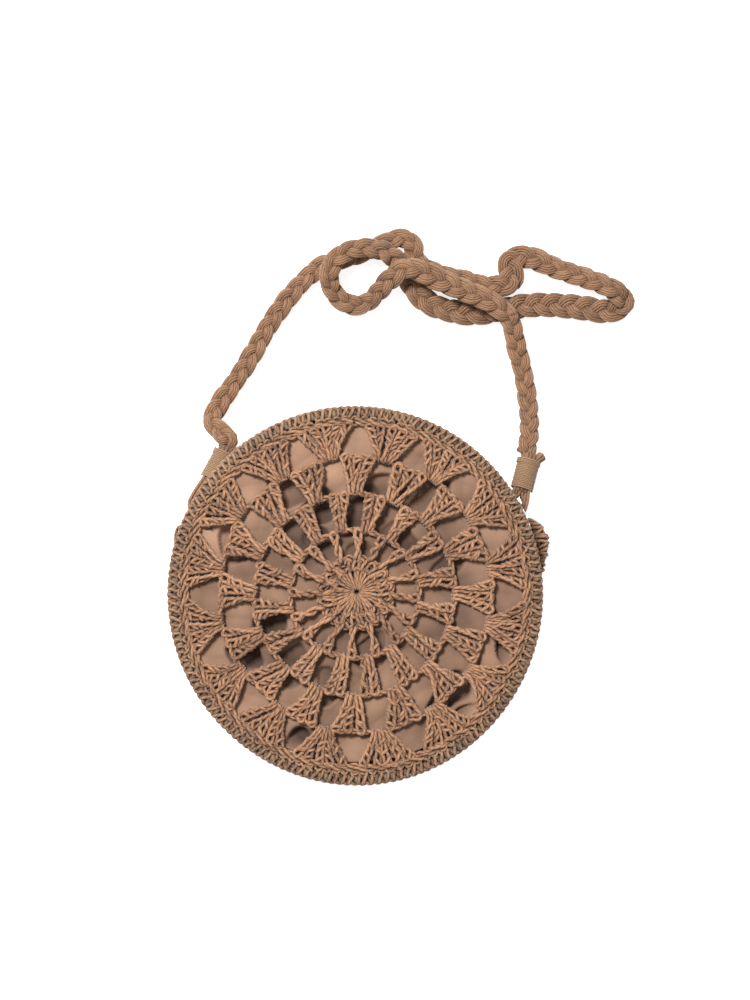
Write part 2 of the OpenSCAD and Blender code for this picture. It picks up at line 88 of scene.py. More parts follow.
# %% [markdown]
# ## Strands
#
# Everything crocheted or braided here is one thing many times over: a thin cord that follows a
# line. Blender's own bevelled curves could draw it, but their texture coordinates run from 0 to 1
# whatever the length, and the twist of the cord has to keep its pitch in millimetres. So one
# function sweeps a round section along every line of a piece and writes the length travelled
# into the UV map.

# %% Lines and their directions
UP = np.array([0.0, 0.0, 1.0])
TINY = 1e-9
# A strand that stands closer to upright than this has no level side of its own
LEAST_SIDE = 0.1


def box_mm(node):
    """A node's lowest and highest corner, in millimetres."""
    low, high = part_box(node)
    return np.array(low) / MM, np.array(high) / MM


def unit(v):
    return v / max(np.linalg.norm(v), TINY)


def section_frames(line, closed):
    """Side and top of a strand at each of its points."""
    if closed:
        ahead = np.roll(line, -1, axis=0) - np.roll(line, 1, axis=0)
    else:
        ahead = np.gradient(line, axis=0)
    ahead = ahead / np.maximum(np.linalg.norm(ahead, axis=1), TINY)[:, None]
    side = np.cross(UP, ahead[0])
    if np.linalg.norm(side) < LEAST_SIDE:
        side = np.array([1.0, 0.0, 0.0])
    sides = []
    for direction in ahead:
        side = unit(side - direction * (side @ direction))
        sides.append(side)
    sides = np.array(sides)
    return sides, np.cross(ahead, sides)


level = np.array([[0.0, 0.0, 0.0], [1.0, 0.0, 0.0]])
print("the top of a level strand points to", section_frames(level, False)[1][0])

# %% [markdown]
# Lines are given by few points. A smooth curve is drawn through them, and where a pattern has to
# repeat evenly, as in the braid, the curve is cut into equal steps.

# %% Smooth and even lines
def smooth_line(points, per_span):
    """A Catmull-Rom line through points, with per_span steps between two of them."""
    p = np.asarray(points, float)
    p = np.concatenate([[2 * p[0] - p[1]], p, [2 * p[-1] - p[-2]]])
    f = np.linspace(0, 1, per_span, endpoint=False)[:, None]
    spans = []
    for a, b, c, d in zip(p[:-3], p[1:-2], p[2:-1], p[3:]):
        bend = (2 * a - 5 * b + 4 * c - d) * f**2 + (3 * b - a - 3 * c + d) * f**3
        spans.append(0.5 * (2 * b + (c - a) * f + bend))
    return np.concatenate(spans + [p[-2:-1]])


def travelled_along(line):
    """The distance from the start of a line to each of its points."""
    return np.concatenate([[0], np.cumsum(np.linalg.norm(np.diff(line, axis=0), axis=1))])


def even_line(line, step):
    """The same line with points an even step apart, and its length."""
    along = travelled_along(line)
    want = np.linspace(0, along[-1], max(2, round(along[-1] / step) + 1))
    return np.stack([np.interp(want, along, line[:, k]) for k in range(3)], axis=1), along[-1]


three = [(0, 0, 0), (5, 2, 0), (9, 0, 0)]
print("three points make a line of", len(smooth_line(three, 4)))

# %% [markdown]
# A strand's mesh is a tube with flat ends. Every strand starts its twist somewhere else and has a
# tone of its own, as cord does that was cut and wound at different times.

# %% A mesh of many strands
# A strand's pattern starts up to this far along its twist
MOST_START = 50
# Sides of a strand's tube, where it is seen and where it isn't
FINE_SIDES, COARSE_SIDES = 6, 5


def strand_mesh(name, strands, sides=FINE_SIDES):
    """One object from a list of strands: (points in mm, radius in mm, closed)."""
    turn = np.linspace(0, 2 * math.pi, sides, endpoint=False)
    co, faces, uvs, tones = [], [], [], []
    start = 0
    rng = random.Random(name)
    for line, radius, closed in strands:
        line = np.asarray(line, float)
        count = len(line)
        across, top = section_frames(line, closed)
        radii = np.broadcast_to(np.asarray(radius, float), (count,))
        ring = across[:, None] * np.cos(turn)[:, None] + top[:, None] * np.sin(turn)[:, None]
        co.append((line[:, None] + ring * radii[:, None, None]).reshape(-1, 3))
        whole = np.concatenate([line, line[:1] if closed else line[-1:]])
        travelled = travelled_along(whole) + rng.uniform(0, MOST_START)
        last = count if closed else count - 1
        for i in range(last):
            a, b = start + i * sides, start + (i + 1) % count * sides
            for j in range(sides):
                k = (j + 1) % sides
                faces.append((a + j, a + k, b + k, b + j))
                low, high = travelled[i], travelled[i + 1]
                v0, v1 = j / sides, (j + 1) / sides
                uvs += [(low, v0), (low, v1), (high, v1), (high, v0)]
        if not closed:
            faces.append(tuple(start + j for j in reversed(range(sides))))
            uvs += [(travelled[0], 0.0)] * sides
            end = start + (count - 1) * sides
            faces.append(tuple(end + j for j in range(sides)))
            uvs += [(travelled[count - 1], 0.0)] * sides
        tones += [rng.random()] * (count * sides)
        start += count * sides
    mesh = bpy.data.meshes.new(name)
    mesh.from_pydata([tuple(p) for p in np.concatenate(co) * MM], [], faces)
    layer = mesh.uv_layers.new(name="UVMap")
    layer.data.foreach_set("uv", np.array(uvs, np.float32).ravel())
    tone = mesh.attributes.new("tone", "FLOAT", "POINT")
    tone.data.foreach_set("value", np.array(tones, np.float32))
    mesh.polygons.foreach_set("use_smooth", np.ones(len(faces), bool))
    piece = bpy.data.objects.new(name, mesh)
    bpy.context.collection.objects.link(piece)
    print(name, len(strands), "strands,", len(faces) * 2, "triangles")
    return piece


# %% [markdown]
# ## Materials
#
# One function turns a hex colour into the linear one that the shader needs, and one adds a node
# with its settings and links. Each finish is then a short function of its own.

# %% Colour and node helpers
def linear(hex_colour):
    """An sRGB hex colour as the linear colour of a socket."""
    values = [int(hex_colour[i : i + 2], 16) / 255 for i in (1, 3, 5)]
    return [v / 12.92 if v <= 0.04045 else ((v + 0.055) / 1.055) ** 2.4 for v in values] + [1]


# Kinds of node that come back in most of the finishes
MATH, NOISE, RAMP, BUMP = ["ShaderNode" + kind for kind in ("Math", "TexNoise", "ValToRGB", "Bump")]


def feed(tree, node, inputs):
    """Give a node's inputs a value, a socket, or a node, whose first output is meant.

    An input is called by its name, or by i and its number.
    """
    for key, value in inputs.items():
        numbered = key[0] == "i" and key[1:].isdigit()
        socket = node.inputs[int(key[1:]) if numbered else key.replace("_", " ")]
        if isinstance(value, bpy.types.Node):
            value = value.outputs[0]
        if isinstance(value, bpy.types.NodeSocket):
            tree.links.new(value, socket)
        else:
            socket.default_value = value


def add_node(tree, kind, settings=None, **inputs):
    """A node of a kind; the setting stops holds the places and hex colours of a ramp."""
    node = tree.nodes.new(kind)
    settings = dict(settings or {})
    stops = settings.pop("stops", ())
    while stops and len(node.color_ramp.elements) < len(stops):
        node.color_ramp.elements.new(0.5)
    for k, (place, colour) in enumerate(stops):
        node.color_ramp.elements[k].position = place
        node.color_ramp.elements[k].color = linear(colour)
    for key, value in settings.items():
        setattr(node, key, value)
    feed(tree, node, inputs)
    return node


def new_material(name, **values):
    """A material, its node tree and its shader, whose inputs take the values given."""
    material = bpy.data.materials.new(name)
    material.use_nodes = True
    shader = material.node_tree.nodes["Principled BSDF"]
    feed(material.node_tree, shader, values)
    return material, material.node_tree, shader


print("white is", [round(v, 3) for v in linear("#ffffff")])

# %% [markdown]
# The cord is cotton, spun in two plies and only lightly polished. Seen close to, the plies show
# as slanting grooves, and short fibres dull its shine. The grooves are worked out from the UV
# map: one turn round the strand and one pitch along it are the same step of the pattern, and
# shade is painted into the colour along the grooves. Light hardly reaches between strands that
# lie side by side, so shade is painted there too: the colour darkens and warms where others
# stand close round a point.

# %% Cotton cord
PLIES = 2
PLY_ROUNDNESS = 0.6
# How much of the colour follows a patch of cloudy noise, the strand's own tone, and its plies,
# whose share is painted shade in the grooves between them
PATCH_SHARE, TONE_SHARE, PAINTED_GROOVE_SHADE_SHARE = 0.5, 0.3, 0.35
FIBRE_SHARE = 0.35
# Clumps of short fibres, and patches where the cord took its colour a little differently
FIBRE_MM, PATCH_MM = 0.5556, 16.67
# Painted shade: ambient occlusion within this reach darkens the colour, through these colours,
# where other strands stand close
PAINTED_SHADE_REACH = 2.2
PAINTED_GAP_SHADE_COLOURS = [(0.0, "#1c0f08"), (0.5, "#c6b2a2"), (1.0, "#ffffff")]


def cotton_cord(name, light, dark, pitch_mm, groove=0.16, gaps=1.2):
    """Spun cotton, with the pitch of its twist, the depth of its grooves, and painted shade in the
    gaps between strands.
    """
    soft = dict(Roughness=0.72, Sheen_Weight=0.25, Sheen_Roughness=0.5)
    material, tree, shader = new_material(name, **soft)
    uv = add_node(tree, "ShaderNodeUVMap", {"uv_map": "UVMap"})
    split = add_node(tree, "ShaderNodeSeparateXYZ", Vector=uv).outputs
    along = add_node(tree, MATH, {"operation": "DIVIDE"}, i0=split["X"], i1=pitch_mm)
    turns = add_node(tree, MATH, {"operation": "MULTIPLY_ADD"}, i0=split["Y"], i1=PLIES, i2=along)
    wave = add_node(tree, MATH, {"operation": "MULTIPLY"}, i0=turns, i1=math.pi)
    for step in ("SINE", "ABSOLUTE"):
        wave = add_node(tree, MATH, {"operation": step}, i0=wave)
    ply = add_node(tree, MATH, {"operation": "POWER"}, i0=wave, i1=PLY_ROUNDNESS)
    place = add_node(tree, "ShaderNodeTexCoord").outputs["Object"]
    fibre = add_node(tree, NOISE, Vector=place, Scale=1 / (FIBRE_MM * MM), Detail=3)
    patch = add_node(tree, NOISE, Vector=place, Scale=1 / (PATCH_MM * MM), Detail=2)
    tone = add_node(tree, "ShaderNodeAttribute", {"attribute_name": "tone"}).outputs["Fac"]
    mixed = add_node(tree, MATH, {"operation": "MULTIPLY"}, i0=patch, i1=PATCH_SHARE)
    # The plies add painted shade to the colour, darker in the grooves between them
    for part, share in ((tone, TONE_SHARE), (ply, PAINTED_GROOVE_SHADE_SHARE)):
        mixed = add_node(tree, MATH, {"operation": "MULTIPLY_ADD"}, i0=part, i1=share, i2=mixed)
    colour = add_node(tree, RAMP, {"stops": [(0.15, dark), (0.85, light)]}, Fac=mixed)
    # Painted shade between strands: the colour is multiplied darker and warmer where others stand
    # close
    sky = add_node(tree, "ShaderNodeAmbientOcclusion", {"samples": 6}, Distance=PAINTED_SHADE_REACH * MM)
    open_to_sky = add_node(tree, MATH, {"operation": "POWER"}, i0=sky.outputs["AO"], i1=gaps)
    painted_gap_shade = add_node(tree, RAMP, {"stops": PAINTED_GAP_SHADE_COLOURS}, Fac=open_to_sky)
    colour = add_node(tree, "ShaderNodeVectorMath", {"operation": "MULTIPLY"}, i0=colour, i1=painted_gap_shade)
    relief = add_node(tree, MATH, {"operation": "MULTIPLY_ADD"}, i0=fibre, i1=FIBRE_SHARE, i2=ply)
    bump = add_node(tree, BUMP, Height=relief, Strength=0.9, Distance=groove * MM)
    feed(tree, shader, dict(Base_Color=colour, Normal=bump))
    return material


print("cord of", PLIES, "plies")

# %% [markdown]
# The edge takes a darker copy of the same cord, which is painted shade for the edge, where more of
# it lies in shadow; the stitches between are of a greyer cord. The strap is braided of a softer
# yarn, and its ends are bound with thread.

# %% Five cottons
CORD_PITCH = 3.4
cord_cotton = cotton_cord("cotton crochet cord", "#be8e69", "#543320", CORD_PITCH, 0.3, 1.5)
# A darker copy of the cord: painted shade for the edge, with stronger painted shade between strands
shaded_rim_cotton = cotton_cord("cotton crochet cord, edge", "#b68a66", "#4b2e1d", CORD_PITCH, 0.3, 2.1)
greyish_cotton = cotton_cord("cotton cord, greyish", "#9b8263", "#5a452f", CORD_PITCH, gaps=2.0)
braid_cotton = cotton_cord("cotton braid yarn", "#a57c5a", "#6c4a34", 3.2, groove=0.1, gaps=0.5)
whip_cotton = cotton_cord("whipping thread", "#aa8865", "#7a593f", 1.6, gaps=0.6)
print("pitch of the crochet cord", CORD_PITCH, "mm")

# %% [markdown]
# ## The strap
#
# The strap is one three-strand braid, about ten millimetres wide. It leaves the right-hand
# binding, is thrown into a bow of loose loops above the bag, and comes back to the left-hand
# binding. Its points are the ones that the CAD tubes follow, in millimetres. A real braid gives
# where it lies on itself, so a few points of the loops are moved up to four millimetres after
# that, and neighbouring runs touch.

# %% The strap's route
RUN_RIGHT = [
    (89.6, 84.1, 13), (89.3, 97, 7), (87, 112.1, 5), (82.9, 128.1, 7), (79, 140.9, 12.5),
]
RUN_PILE = [
    (79, 140.9, 12.5), (69, 149, 15), (55, 155, 15), (41, 161, 16), (27, 166, 18),
    (16, 159, 13), (6.2, 149.5, 6), (-3.8, 148.6, 5), (-12.1, 156, 7), (-13.2, 165.1, 12.5),
    (-8.3, 172.4, 15), (0.9, 176.2, 15), (11.9, 175.8, 14), (21, 171, 9), (27, 161, 6),
    (36, 149, 5), (49, 142, 5), (63, 140, 5), (77, 145, 5), (92.9, 148.4, 5),
    (112.8, 147.4, 5), (131.6, 144.8, 5), (138.9, 149.4, 8), (132.5, 155.9, 12), (121.6, 161, 9),
    (105, 167, 5), (90, 173, 5), (79.6, 171.4, 5), (78.6, 163.4, 5), (67, 160, 5),
    (56, 161, 5), (44, 164, 5), (31.9, 170.3, 5), (29.2, 179.7, 5), (23.1, 182.8, 5),
    (14.1, 179.8, 5), (3, 175, 5), (-9, 171, 5), (-20, 167, 5),
]
RUN_LEFT = [
    (-20, 167, 5), (-33.2, 154.3, 5), (-44.6, 138.7, 5), (-53, 124, 5), (-61.5, 110.2, 5),
    (-69.7, 98, 7), (-73.8, 87.5, 12),
]
# Point of the loops, and how far it moves
NUDGES = {
    15: (0.8, 1, 0), 16: (1, 3, 0), 17: (0, 4, 0), 18: (0, 1, 0),
    27: (0.6, -0.6, 1), 28: (1.4, -3.6, 4), 29: (1, -2.4, 3),
}
START_RIGHT = [(87.2, 70.8, 19.4), (88.3, 75.1, 18.7)]
START_LEFT = [(-65.5, 78.7, 17.8), (-67.6, 74.8, 18.6)]
print(len(RUN_RIGHT), len(RUN_PILE), len(RUN_LEFT), "points on the three runs")

# %% [markdown]
# Three strands cross in turn: each swings from side to side once in a period, and rises and
# falls twice, so that it passes over one neighbour and under the other. Every strand is itself a
# bundle of ten yarns laid round a flat oval.

# %% A bundle of the braid
BRAID_PERIOD = 26
BRAID_HALF_SWING = 2.7
BRAID_HALF_RISE = 1.6
BUNDLE_HALF_W, BUNDLE_HALF_H = 1.85, 1.2
YARN_R = 0.64
YARNS = 10
# The middle of a bundle is filled by one thick strand
BUNDLE_CORE_R = 1.3
# How much steeper than a plain wave the bundles cross
CROSSING = 0.11
# A bundle twists by one radian in TWIST_MM; its swing wanders by WANDER, at its own pitch
TWIST_MM, WANDER_MM, WANDER = 40, 31, 0.25


def level_frames(line):
    """Level side and top along a line that lies nearly flat."""
    ahead = np.gradient(line, axis=0)
    ahead /= np.linalg.norm(ahead, axis=1)[:, None]
    side = np.cross(UP, ahead)
    side /= np.linalg.norm(side, axis=1)[:, None]
    return side, np.cross(ahead, side)


def bundle_yarns(middle, along, flat, k, rng):
    """The yarns round the middle of bundle k, and the strand that fills it."""
    side, top = level_frames(middle)
    yarns = []
    for j in range(YARNS):
        turn = 2 * math.pi * (j / YARNS) + along / TWIST_MM + k
        spread = 1 + 0.08 * np.sin(along / 17 + 2.1 * j + k)
        across = BUNDLE_HALF_W * (0.5 + 0.5 * flat) * spread * np.cos(turn)
        up = BUNDLE_HALF_H * np.sin(turn)
        yarn = middle + side * across[:, None] + top * up[:, None]
        yarns.append((yarn, YARN_R * rng.uniform(0.95, 1.05), False))
    return yarns + [(middle, BUNDLE_CORE_R, False)]


print("a bundle is", 2 * (BUNDLE_HALF_W + YARN_R), "mm wide")

# %% [markdown]
# The braid itself: three bundles that follow the same wave, each a third of a period later.

# %% The braid
def braid_strands(line, along, flat):
    """The yarns of a braid along an even line; along is the distance from its start."""
    side, top = level_frames(line)
    strands = []
    rng = random.Random(4)
    for k in range(3):
        angle = 2 * math.pi * (along / BRAID_PERIOD + k / 3)
        swing = BRAID_HALF_SWING * (np.sin(angle) + CROSSING * np.sin(3 * angle)) / (1 - CROSSING)
        swing = swing * flat + WANDER * np.sin(along / WANDER_MM + k)
        rise = BRAID_HALF_RISE * np.sin(2 * angle)
        middle = line + side * swing[:, None] + top * rise[:, None]
        strands += bundle_yarns(middle, along, flat, k, rng)
    return strands


print("braid of 3 bundles,", YARNS, "yarns each")

# %% [markdown]
# The route is joined from its runs and made smooth. Away from the bindings the strap settles a
# little under its own weight. Where it lies on its flat side, the three strands spread.

# %% Lay the braid along its route
BRAID_STEP = 1.15
PER_SPAN = 24
SETTLE = 1.0
# Held by its binding, the strap starts to settle this far from it, and lies down this much
# further on
SETTLES_FROM, SETTLES_IN = 10, 25
# Point of the loops, and how much wider the braid lies there
FLAT = (
    (-6, 1), (0, 1), (1, 1.15), (3, 1.25), (4, 1.1), (6, 1), (13, 1), (15, 1.3), (18, 1.3),
    (20, 1.4), (21, 1.3), (22, 1.1), (25, 1.1), (27, 1.35), (28, 1.35), (29, 1.1), (31, 1),
)
route = START_RIGHT + RUN_RIGHT + RUN_PILE[1:] + RUN_LEFT[1:] + START_LEFT
LOOPS_FROM = len(START_RIGHT) + len(RUN_RIGHT) - 1
for point, move in NUDGES.items():
    route[LOOPS_FROM + point] = tuple(np.add(route[LOOPS_FROM + point], move))
curve = smooth_line(route, PER_SPAN)
held = np.minimum(*(np.linalg.norm(curve - end, axis=1) for end in (curve[0], curve[-1])))
curve[:, 2] -= SETTLE * np.clip((held - SETTLES_FROM) / SETTLES_IN, 0, 1)
line, strap_length = even_line(curve, BRAID_STEP)
along = np.linspace(0, strap_length, len(line))
reached = travelled_along(curve)
flat_at = [reached[(LOOPS_FROM + point) * PER_SPAN] for point, _ in FLAT]
flat = np.interp(along, flat_at, [wider for _, wider in FLAT])
all_yarns = braid_strands(line, along, flat)
print("strap", round(strap_length), "mm")

# %% [markdown]
# It is cut in three at the ends of its runs, and the loops between them stay with the bag.

# %% Cut the strap in three
pile_start = curve[LOOPS_FROM * PER_SPAN]
pile_end = curve[(LOOPS_FROM + len(RUN_PILE) - 1) * PER_SPAN]
first_cut = int(np.argmin(np.linalg.norm(line - pile_start, axis=1)))
second_cut = first_cut + int(np.argmin(np.linalg.norm(line[first_cut:] - pile_end, axis=1)))


def strap_piece(name, node, first, last):
    """One stretch of the strap, from one point of the line to another."""
    cut = [(yarn[first : last + 1], radius, closed) for yarn, radius, closed in all_yarns]
    piece = strand_mesh(name, cut)
    piece.data.materials.append(braid_cotton)
    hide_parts(node)
    return piece


strap_right = strap_piece("braid_right", "strap_run_right", 0, first_cut)
strap_middle = strap_piece("braid_loops", "strap_pile", first_cut, second_cut)
strap_left = strap_piece("braid_left", "strap_run_left", second_cut, len(line) - 1)
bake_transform(strap_right)
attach(strap_middle, "bag")
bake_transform(strap_left)
print("cut at", first_cut, second_cut, "of", len(line))

# %% [markdown]
# ## The strap's ends
#
# At each end the braid is folded round a metal ring, and its own yarns run back up beside it.
# Thread is whipped round both, and the cut end sticks out at the top of the whipping. Each end
# is drawn in its own directions: along the strap, across it, and up. The place where the ring's
# wire passes through the fold is their origin.

# %% Where each strap end points
# The ends slope down towards the loops, from the middle of the bag's depth
DIP = math.radians(10)
MID_Z = 24
# Side of the bag, clock angle, place of the wire, length of the fold, and the side and lean of
# the cut end
ENDS = {
    "right": dict(sign=1, clock=15.0, wire=(82.87, 45.13, MID_Z), reach=7.0, stub=1, lean=38.0),
    "left": dict(sign=-1, clock=28.0, wire=(-79.82, 46.36, MID_Z), reach=12.0, stub=-1, lean=12.0),
}


def end_place(side, points):
    """Points given across, along and above a strap end, placed in the bag."""
    spec = ENDS[side]
    clock = math.radians(spec["clock"])
    level = np.array([math.sin(clock), math.cos(clock), 0.0])
    across = np.array([math.cos(clock), -math.sin(clock), 0.0]) * spec["sign"]
    ahead = level * math.cos(DIP) - UP * math.sin(DIP)
    top = level * math.sin(DIP) + UP * math.cos(DIP)
    p = np.asarray(points, float)
    return np.array(spec["wire"]) + p[:, :1] * across + p[:, 1:2] * ahead + p[:, 2:] * top


for side in ENDS:
    print(side, "end points along", end_place(side, [(0, 1, 0)])[0] - ENDS[side]["wire"])

# %% [markdown]
# The fold is a bight of loose yarns. They open round the ring and are pinched together again
# where the whipping starts, so the inner ones draw in across the middle.

# %% Yarns of the fold
# Half the width of the inner and the outer yarns, and the heights at which they lie
FOLD_RADII = (2.8, 4.3)
FOLD_LEVELS = (-2.8, -1.4, 0.0, 1.4, 2.8)
FOLD_EYE_L = 1.7
FOLD_YARN_R, PINCH_YARN_R = 0.82, 0.8


def fold_yarns(side):
    """Yarns that run down from the whipping, round the ring's wire and back up."""
    reach = ENDS[side]["reach"]
    yarns = []
    for radius in FOLD_RADII:
        for level in FOLD_LEVELS:
            z = level * (1.0 if radius > 3 else 0.9)
            leg = [(0.72, reach + 4), (0.9, reach * 0.7), (1, reach * 0.3)]
            leg = [(radius * share, y, z) for share, y in leg]
            turns = [(math.cos(a), math.sin(a)) for a in np.linspace(0, math.pi, 9)]
            arc = [(radius * c, -FOLD_EYE_L - radius * s, z * (1 - 0.12 * s)) for c, s in turns]
            back = [(-x, y, z) for x, y, z in reversed(leg)]
            line = smooth_line(leg + arc + back, 4)
            yarns.append((end_place(side, line), FOLD_YARN_R, False))
    for way in (-1, 1):
        for level in FOLD_LEVELS:
            pinch = [(0.8, reach + 4), (0.8, reach * 0.7), (1.6, reach * 0.5), (2.9, reach * 0.27)]
            line = smooth_line([(way * x, y, level * 0.9) for x, y in pinch], 4)
            yarns.append((end_place(side, line), PINCH_YARN_R, False))
    return yarns


print("yarns of a fold:", len(fold_yarns("right")))

# %% [markdown]
# Inside the whipping lie the braid and its turned-back end, drawn as one round bundle. The cut
# end is a tuft of eight yarns that leans out of it and spreads.

# %% The bundle and the cut end
CORE_L = 19.3
CORE_YARNS, CORE_CIRCLE_R, CORE_YARN_R = 12, 3.6, 0.95
# Seven yarns of the tuft stand in a ring round the eighth
STUB_RING, STUB_CIRCLE_R, STUB_YARN_R, STUB_L = 7, 1.75, 0.8, 4.6


def core_yarns(side):
    """The bundle that the thread is whipped round."""
    reach = ENDS[side]["reach"]
    end = reach + CORE_L
    yarns = []
    for k in range(CORE_YARNS):
        a = 2 * math.pi * k / CORE_YARNS
        x, z = CORE_CIRCLE_R * math.cos(a), CORE_CIRCLE_R * math.sin(a)
        line = [(x, reach - 1, z), (x, end - 9, z), (x, end, z)]
        yarns.append((end_place(side, line), CORE_YARN_R, False))
    return yarns


def stub_yarns(side):
    """The cut end beside the bundle."""
    end = ENDS[side]["reach"] + CORE_L
    yarns = []
    rng = random.Random(side)
    way = ENDS[side]["stub"]
    lean = math.radians(ENDS[side]["lean"])
    out, up = math.sin(lean), math.cos(lean)
    for k in range(STUB_RING + 1):
        a = 2 * math.pi * k / STUB_RING
        circle_r = 0 if k == STUB_RING else STUB_CIRCLE_R
        x, z = circle_r * math.cos(a), circle_r * math.sin(a)
        tip = STUB_L + rng.uniform(-0.5, 0.6)
        line = [
            (way * (2.4 + 0.7 * x), end - 7, 0.7 * z),
            (way * (3.2 + x), end - 3.0, z),
            (way * (3.3 + x * up + out * 0.5 * tip), end - 2.4 + up * 0.5 * tip - x * out, z * 1.1),
            (way * (3.3 + 1.15 * x * up + out * tip), end - 2.4 + up * tip - x * out, z * 1.2),
        ]
        yarns.append((end_place(side, smooth_line(line, 5)), STUB_YARN_R, False))
    return yarns


print("yarns of a tuft:", len(stub_yarns("right")))

# %% [markdown]
# The thread is wound tightly from the fold upwards. Its last turns ride up on the turns below,
# where it was drawn under itself.

# %% Thread whipped round both ends
WHIP_TURNS = 18
WHIP_L = 15.7
WHIP_R = 5.4
THREAD_R = 0.5
# The last turns stand this much further out
RIDE_TURNS, RIDE_UP = 3.5, 0.45


def whipping(side):
    """One thread wound round the core, its last turns riding up on the first ones."""
    start = ENDS[side]["reach"] + 0.8
    pitch = WHIP_L / WHIP_TURNS
    count = WHIP_TURNS * 20
    a = np.linspace(0, 2 * math.pi * WHIP_TURNS, count + 1)
    turn = a / (2 * math.pi)
    riding = np.clip(turn - WHIP_TURNS + RIDE_TURNS, 0, 1)
    radius = WHIP_R + RIDE_UP * riding + 0.06 * np.sin(1.7 * a)
    line = np.stack([radius * np.cos(a), start + pitch * turn, radius * np.sin(a)], axis=1)
    return [(end_place(side, line), THREAD_R, False)]


for side in ENDS:
    body = "strap_end_" + side
    yarns = fold_yarns(side) + core_yarns(side) + stub_yarns(side)
    end = strand_mesh("braid_end_" + side, yarns)
    end.data.materials.append(braid_cotton)
    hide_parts("strap_end_" + side)
    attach(end, body)
    thread = strand_mesh("whipping_" + side, whipping(side))
    thread.data.materials.append(whip_cotton)
    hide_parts("binding_" + side)
    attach(thread, body)

# %% [markdown]
# ## The crocheted faces
#
# Each face grows from the centre in rounds. A close centre comes first, then sixteen single
# posts, sixteen groups of two, sixteen fans of three and sixteen fans of five, each round set
# half a step from the one before. A chain closes every round, and the next posts stand on it.
# A post is one loop of cord: it comes up from the chain, turns over the next chain and goes
# back down, and wraps cross it where the hook drew the cord through. So a face is drawn the
# way it was made, strand by strand.

# %% Sizes of the faces
PETALS = 16
STEP_A = 360 / PETALS
BAG_R, _, DEPTH = box_mm("front_rim")[1]
CENTRE_R = 18.5
ROW_EDGES = (CENTRE_R, 32.5, 50.5, 68.5, 85.4)
CORD_R = 0.88
LINK_L = 5.4
# The middle of the cords lies this far under the face's highest plane
FACE_DROP = 1.6
# posts, width of the foot, width of the top, half steps turned, strand spacing at both ends,
# how often the two strands of a post cross
ROUNDS = (
    dict(posts=1, foot=0.0, top=0.0, turned=0, pair=(2.1, 3.2), radius=1.08, turns=(1, 2)),
    dict(posts=2, foot=2.5, top=5.8, turned=1, pair=(1.9, 3.4), radius=1.05, turns=(0, 1)),
    dict(posts=3, foot=3.8, top=13.0, turned=0, pair=(1.8, 3.6), radius=1.02, turns=(0, 0, 1)),
    dict(posts=5, foot=5.4, top=23.6, turned=1, pair=(1.4, 3.1), radius=0.95, turns=(0, 0, 1)),
)
# How far the chain over each round swings out over its tops; it runs straight from foot to foot
# of the round above, so it swings in
WAVES = (-0.1, -0.35, -0.5, 0.3)
CENTRE_WAVE = 0.3
# Posts start this far inside the chain below them and end this far inside the chain above
FOOT_IN, TOP_IN = 1.5, 1.3
# Degrees by which the posts of each round lean
LEAN_A = (3.0, 1.6, 1.2, 0.3)
print("face radius", round(BAG_R, 1), "mm, depth", round(DEPTH, 1), "mm")

# %% [markdown]
# Hand work is never quite even, and the bag hangs a little out of round, so every strand of the
# face is moved by the same slow waves.

# %% Places on a face
# The lower edge hangs out a little, most at this clock angle
SAG, SAG_A, SAG_SPREAD_A = 2.1, 170, 42
# Towards the edge, which its rounds hold even, the wanderings fade out
EVEN_FROM_R, FADE_W = 91, 14


def drift(p):
    """Small wanderings of hand work, the same for all strands that pass one place."""
    x, y = p[:, 0], p[:, 1]
    out = np.hypot(x, y)
    fade = np.clip((EVEN_FROM_R - out) / FADE_W, 0, 1)
    shift = np.zeros_like(p)
    shift[:, 0] = 0.6 * np.sin(x / 13 + 1.3) * np.cos(y / 19) + 0.45 * np.sin(y / 9 + 0.7)
    shift[:, 1] = 0.6 * np.sin(y / 14 + 2.1) * np.cos(x / 17) + 0.45 * np.sin(x / 8 + 1.9)
    shift[:, 2] = 0.3 * np.sin(x / 11 + y / 15)
    clock = np.degrees(np.arctan2(x, y)) % 360
    sag = SAG * np.exp(-(((clock - SAG_A) / SAG_SPREAD_A) ** 2)) * (out / 94) ** 2
    away = p[:, :2] / np.maximum(out, 1)[:, None]
    shift = shift * fade[:, None]
    shift[:, :2] += away * sag[:, None]
    return p + shift


def on_face(r, a, drop):
    """Points at radii and clock angles (degrees), a drop below the face's plane."""
    r, a, drop = np.broadcast_arrays(np.asarray(r, float), np.radians(a), np.asarray(drop, float))
    return drift(np.stack([r * np.sin(a), r * np.cos(a), DEPTH - drop], axis=1))


def chain(radius, drop, links, swing, lift, cord, wave=0.0, turned=0.0, per_link=8):
    """A closed chain: two strands that wind round one another once in two links."""
    a = np.linspace(0, 360, int(links * per_link), endpoint=False)
    out = []
    for k in range(2):
        angle = np.radians(a * links / 2) + math.pi * k + 0.5 * np.sin(np.radians(a * 7))
        r = radius + swing * np.cos(angle) + wave * np.cos(np.radians(PETALS * (a - turned)))
        out.append((on_face(r, a, drop - lift * np.sin(angle)), cord, True))
    return out


print("sag", SAG, "mm at", SAG_A, "degrees")

# %% [markdown]
# The line through the middle of a post says where it stands in its fan. The fan's outer posts
# start beside each other at the foot and flare out to the top.

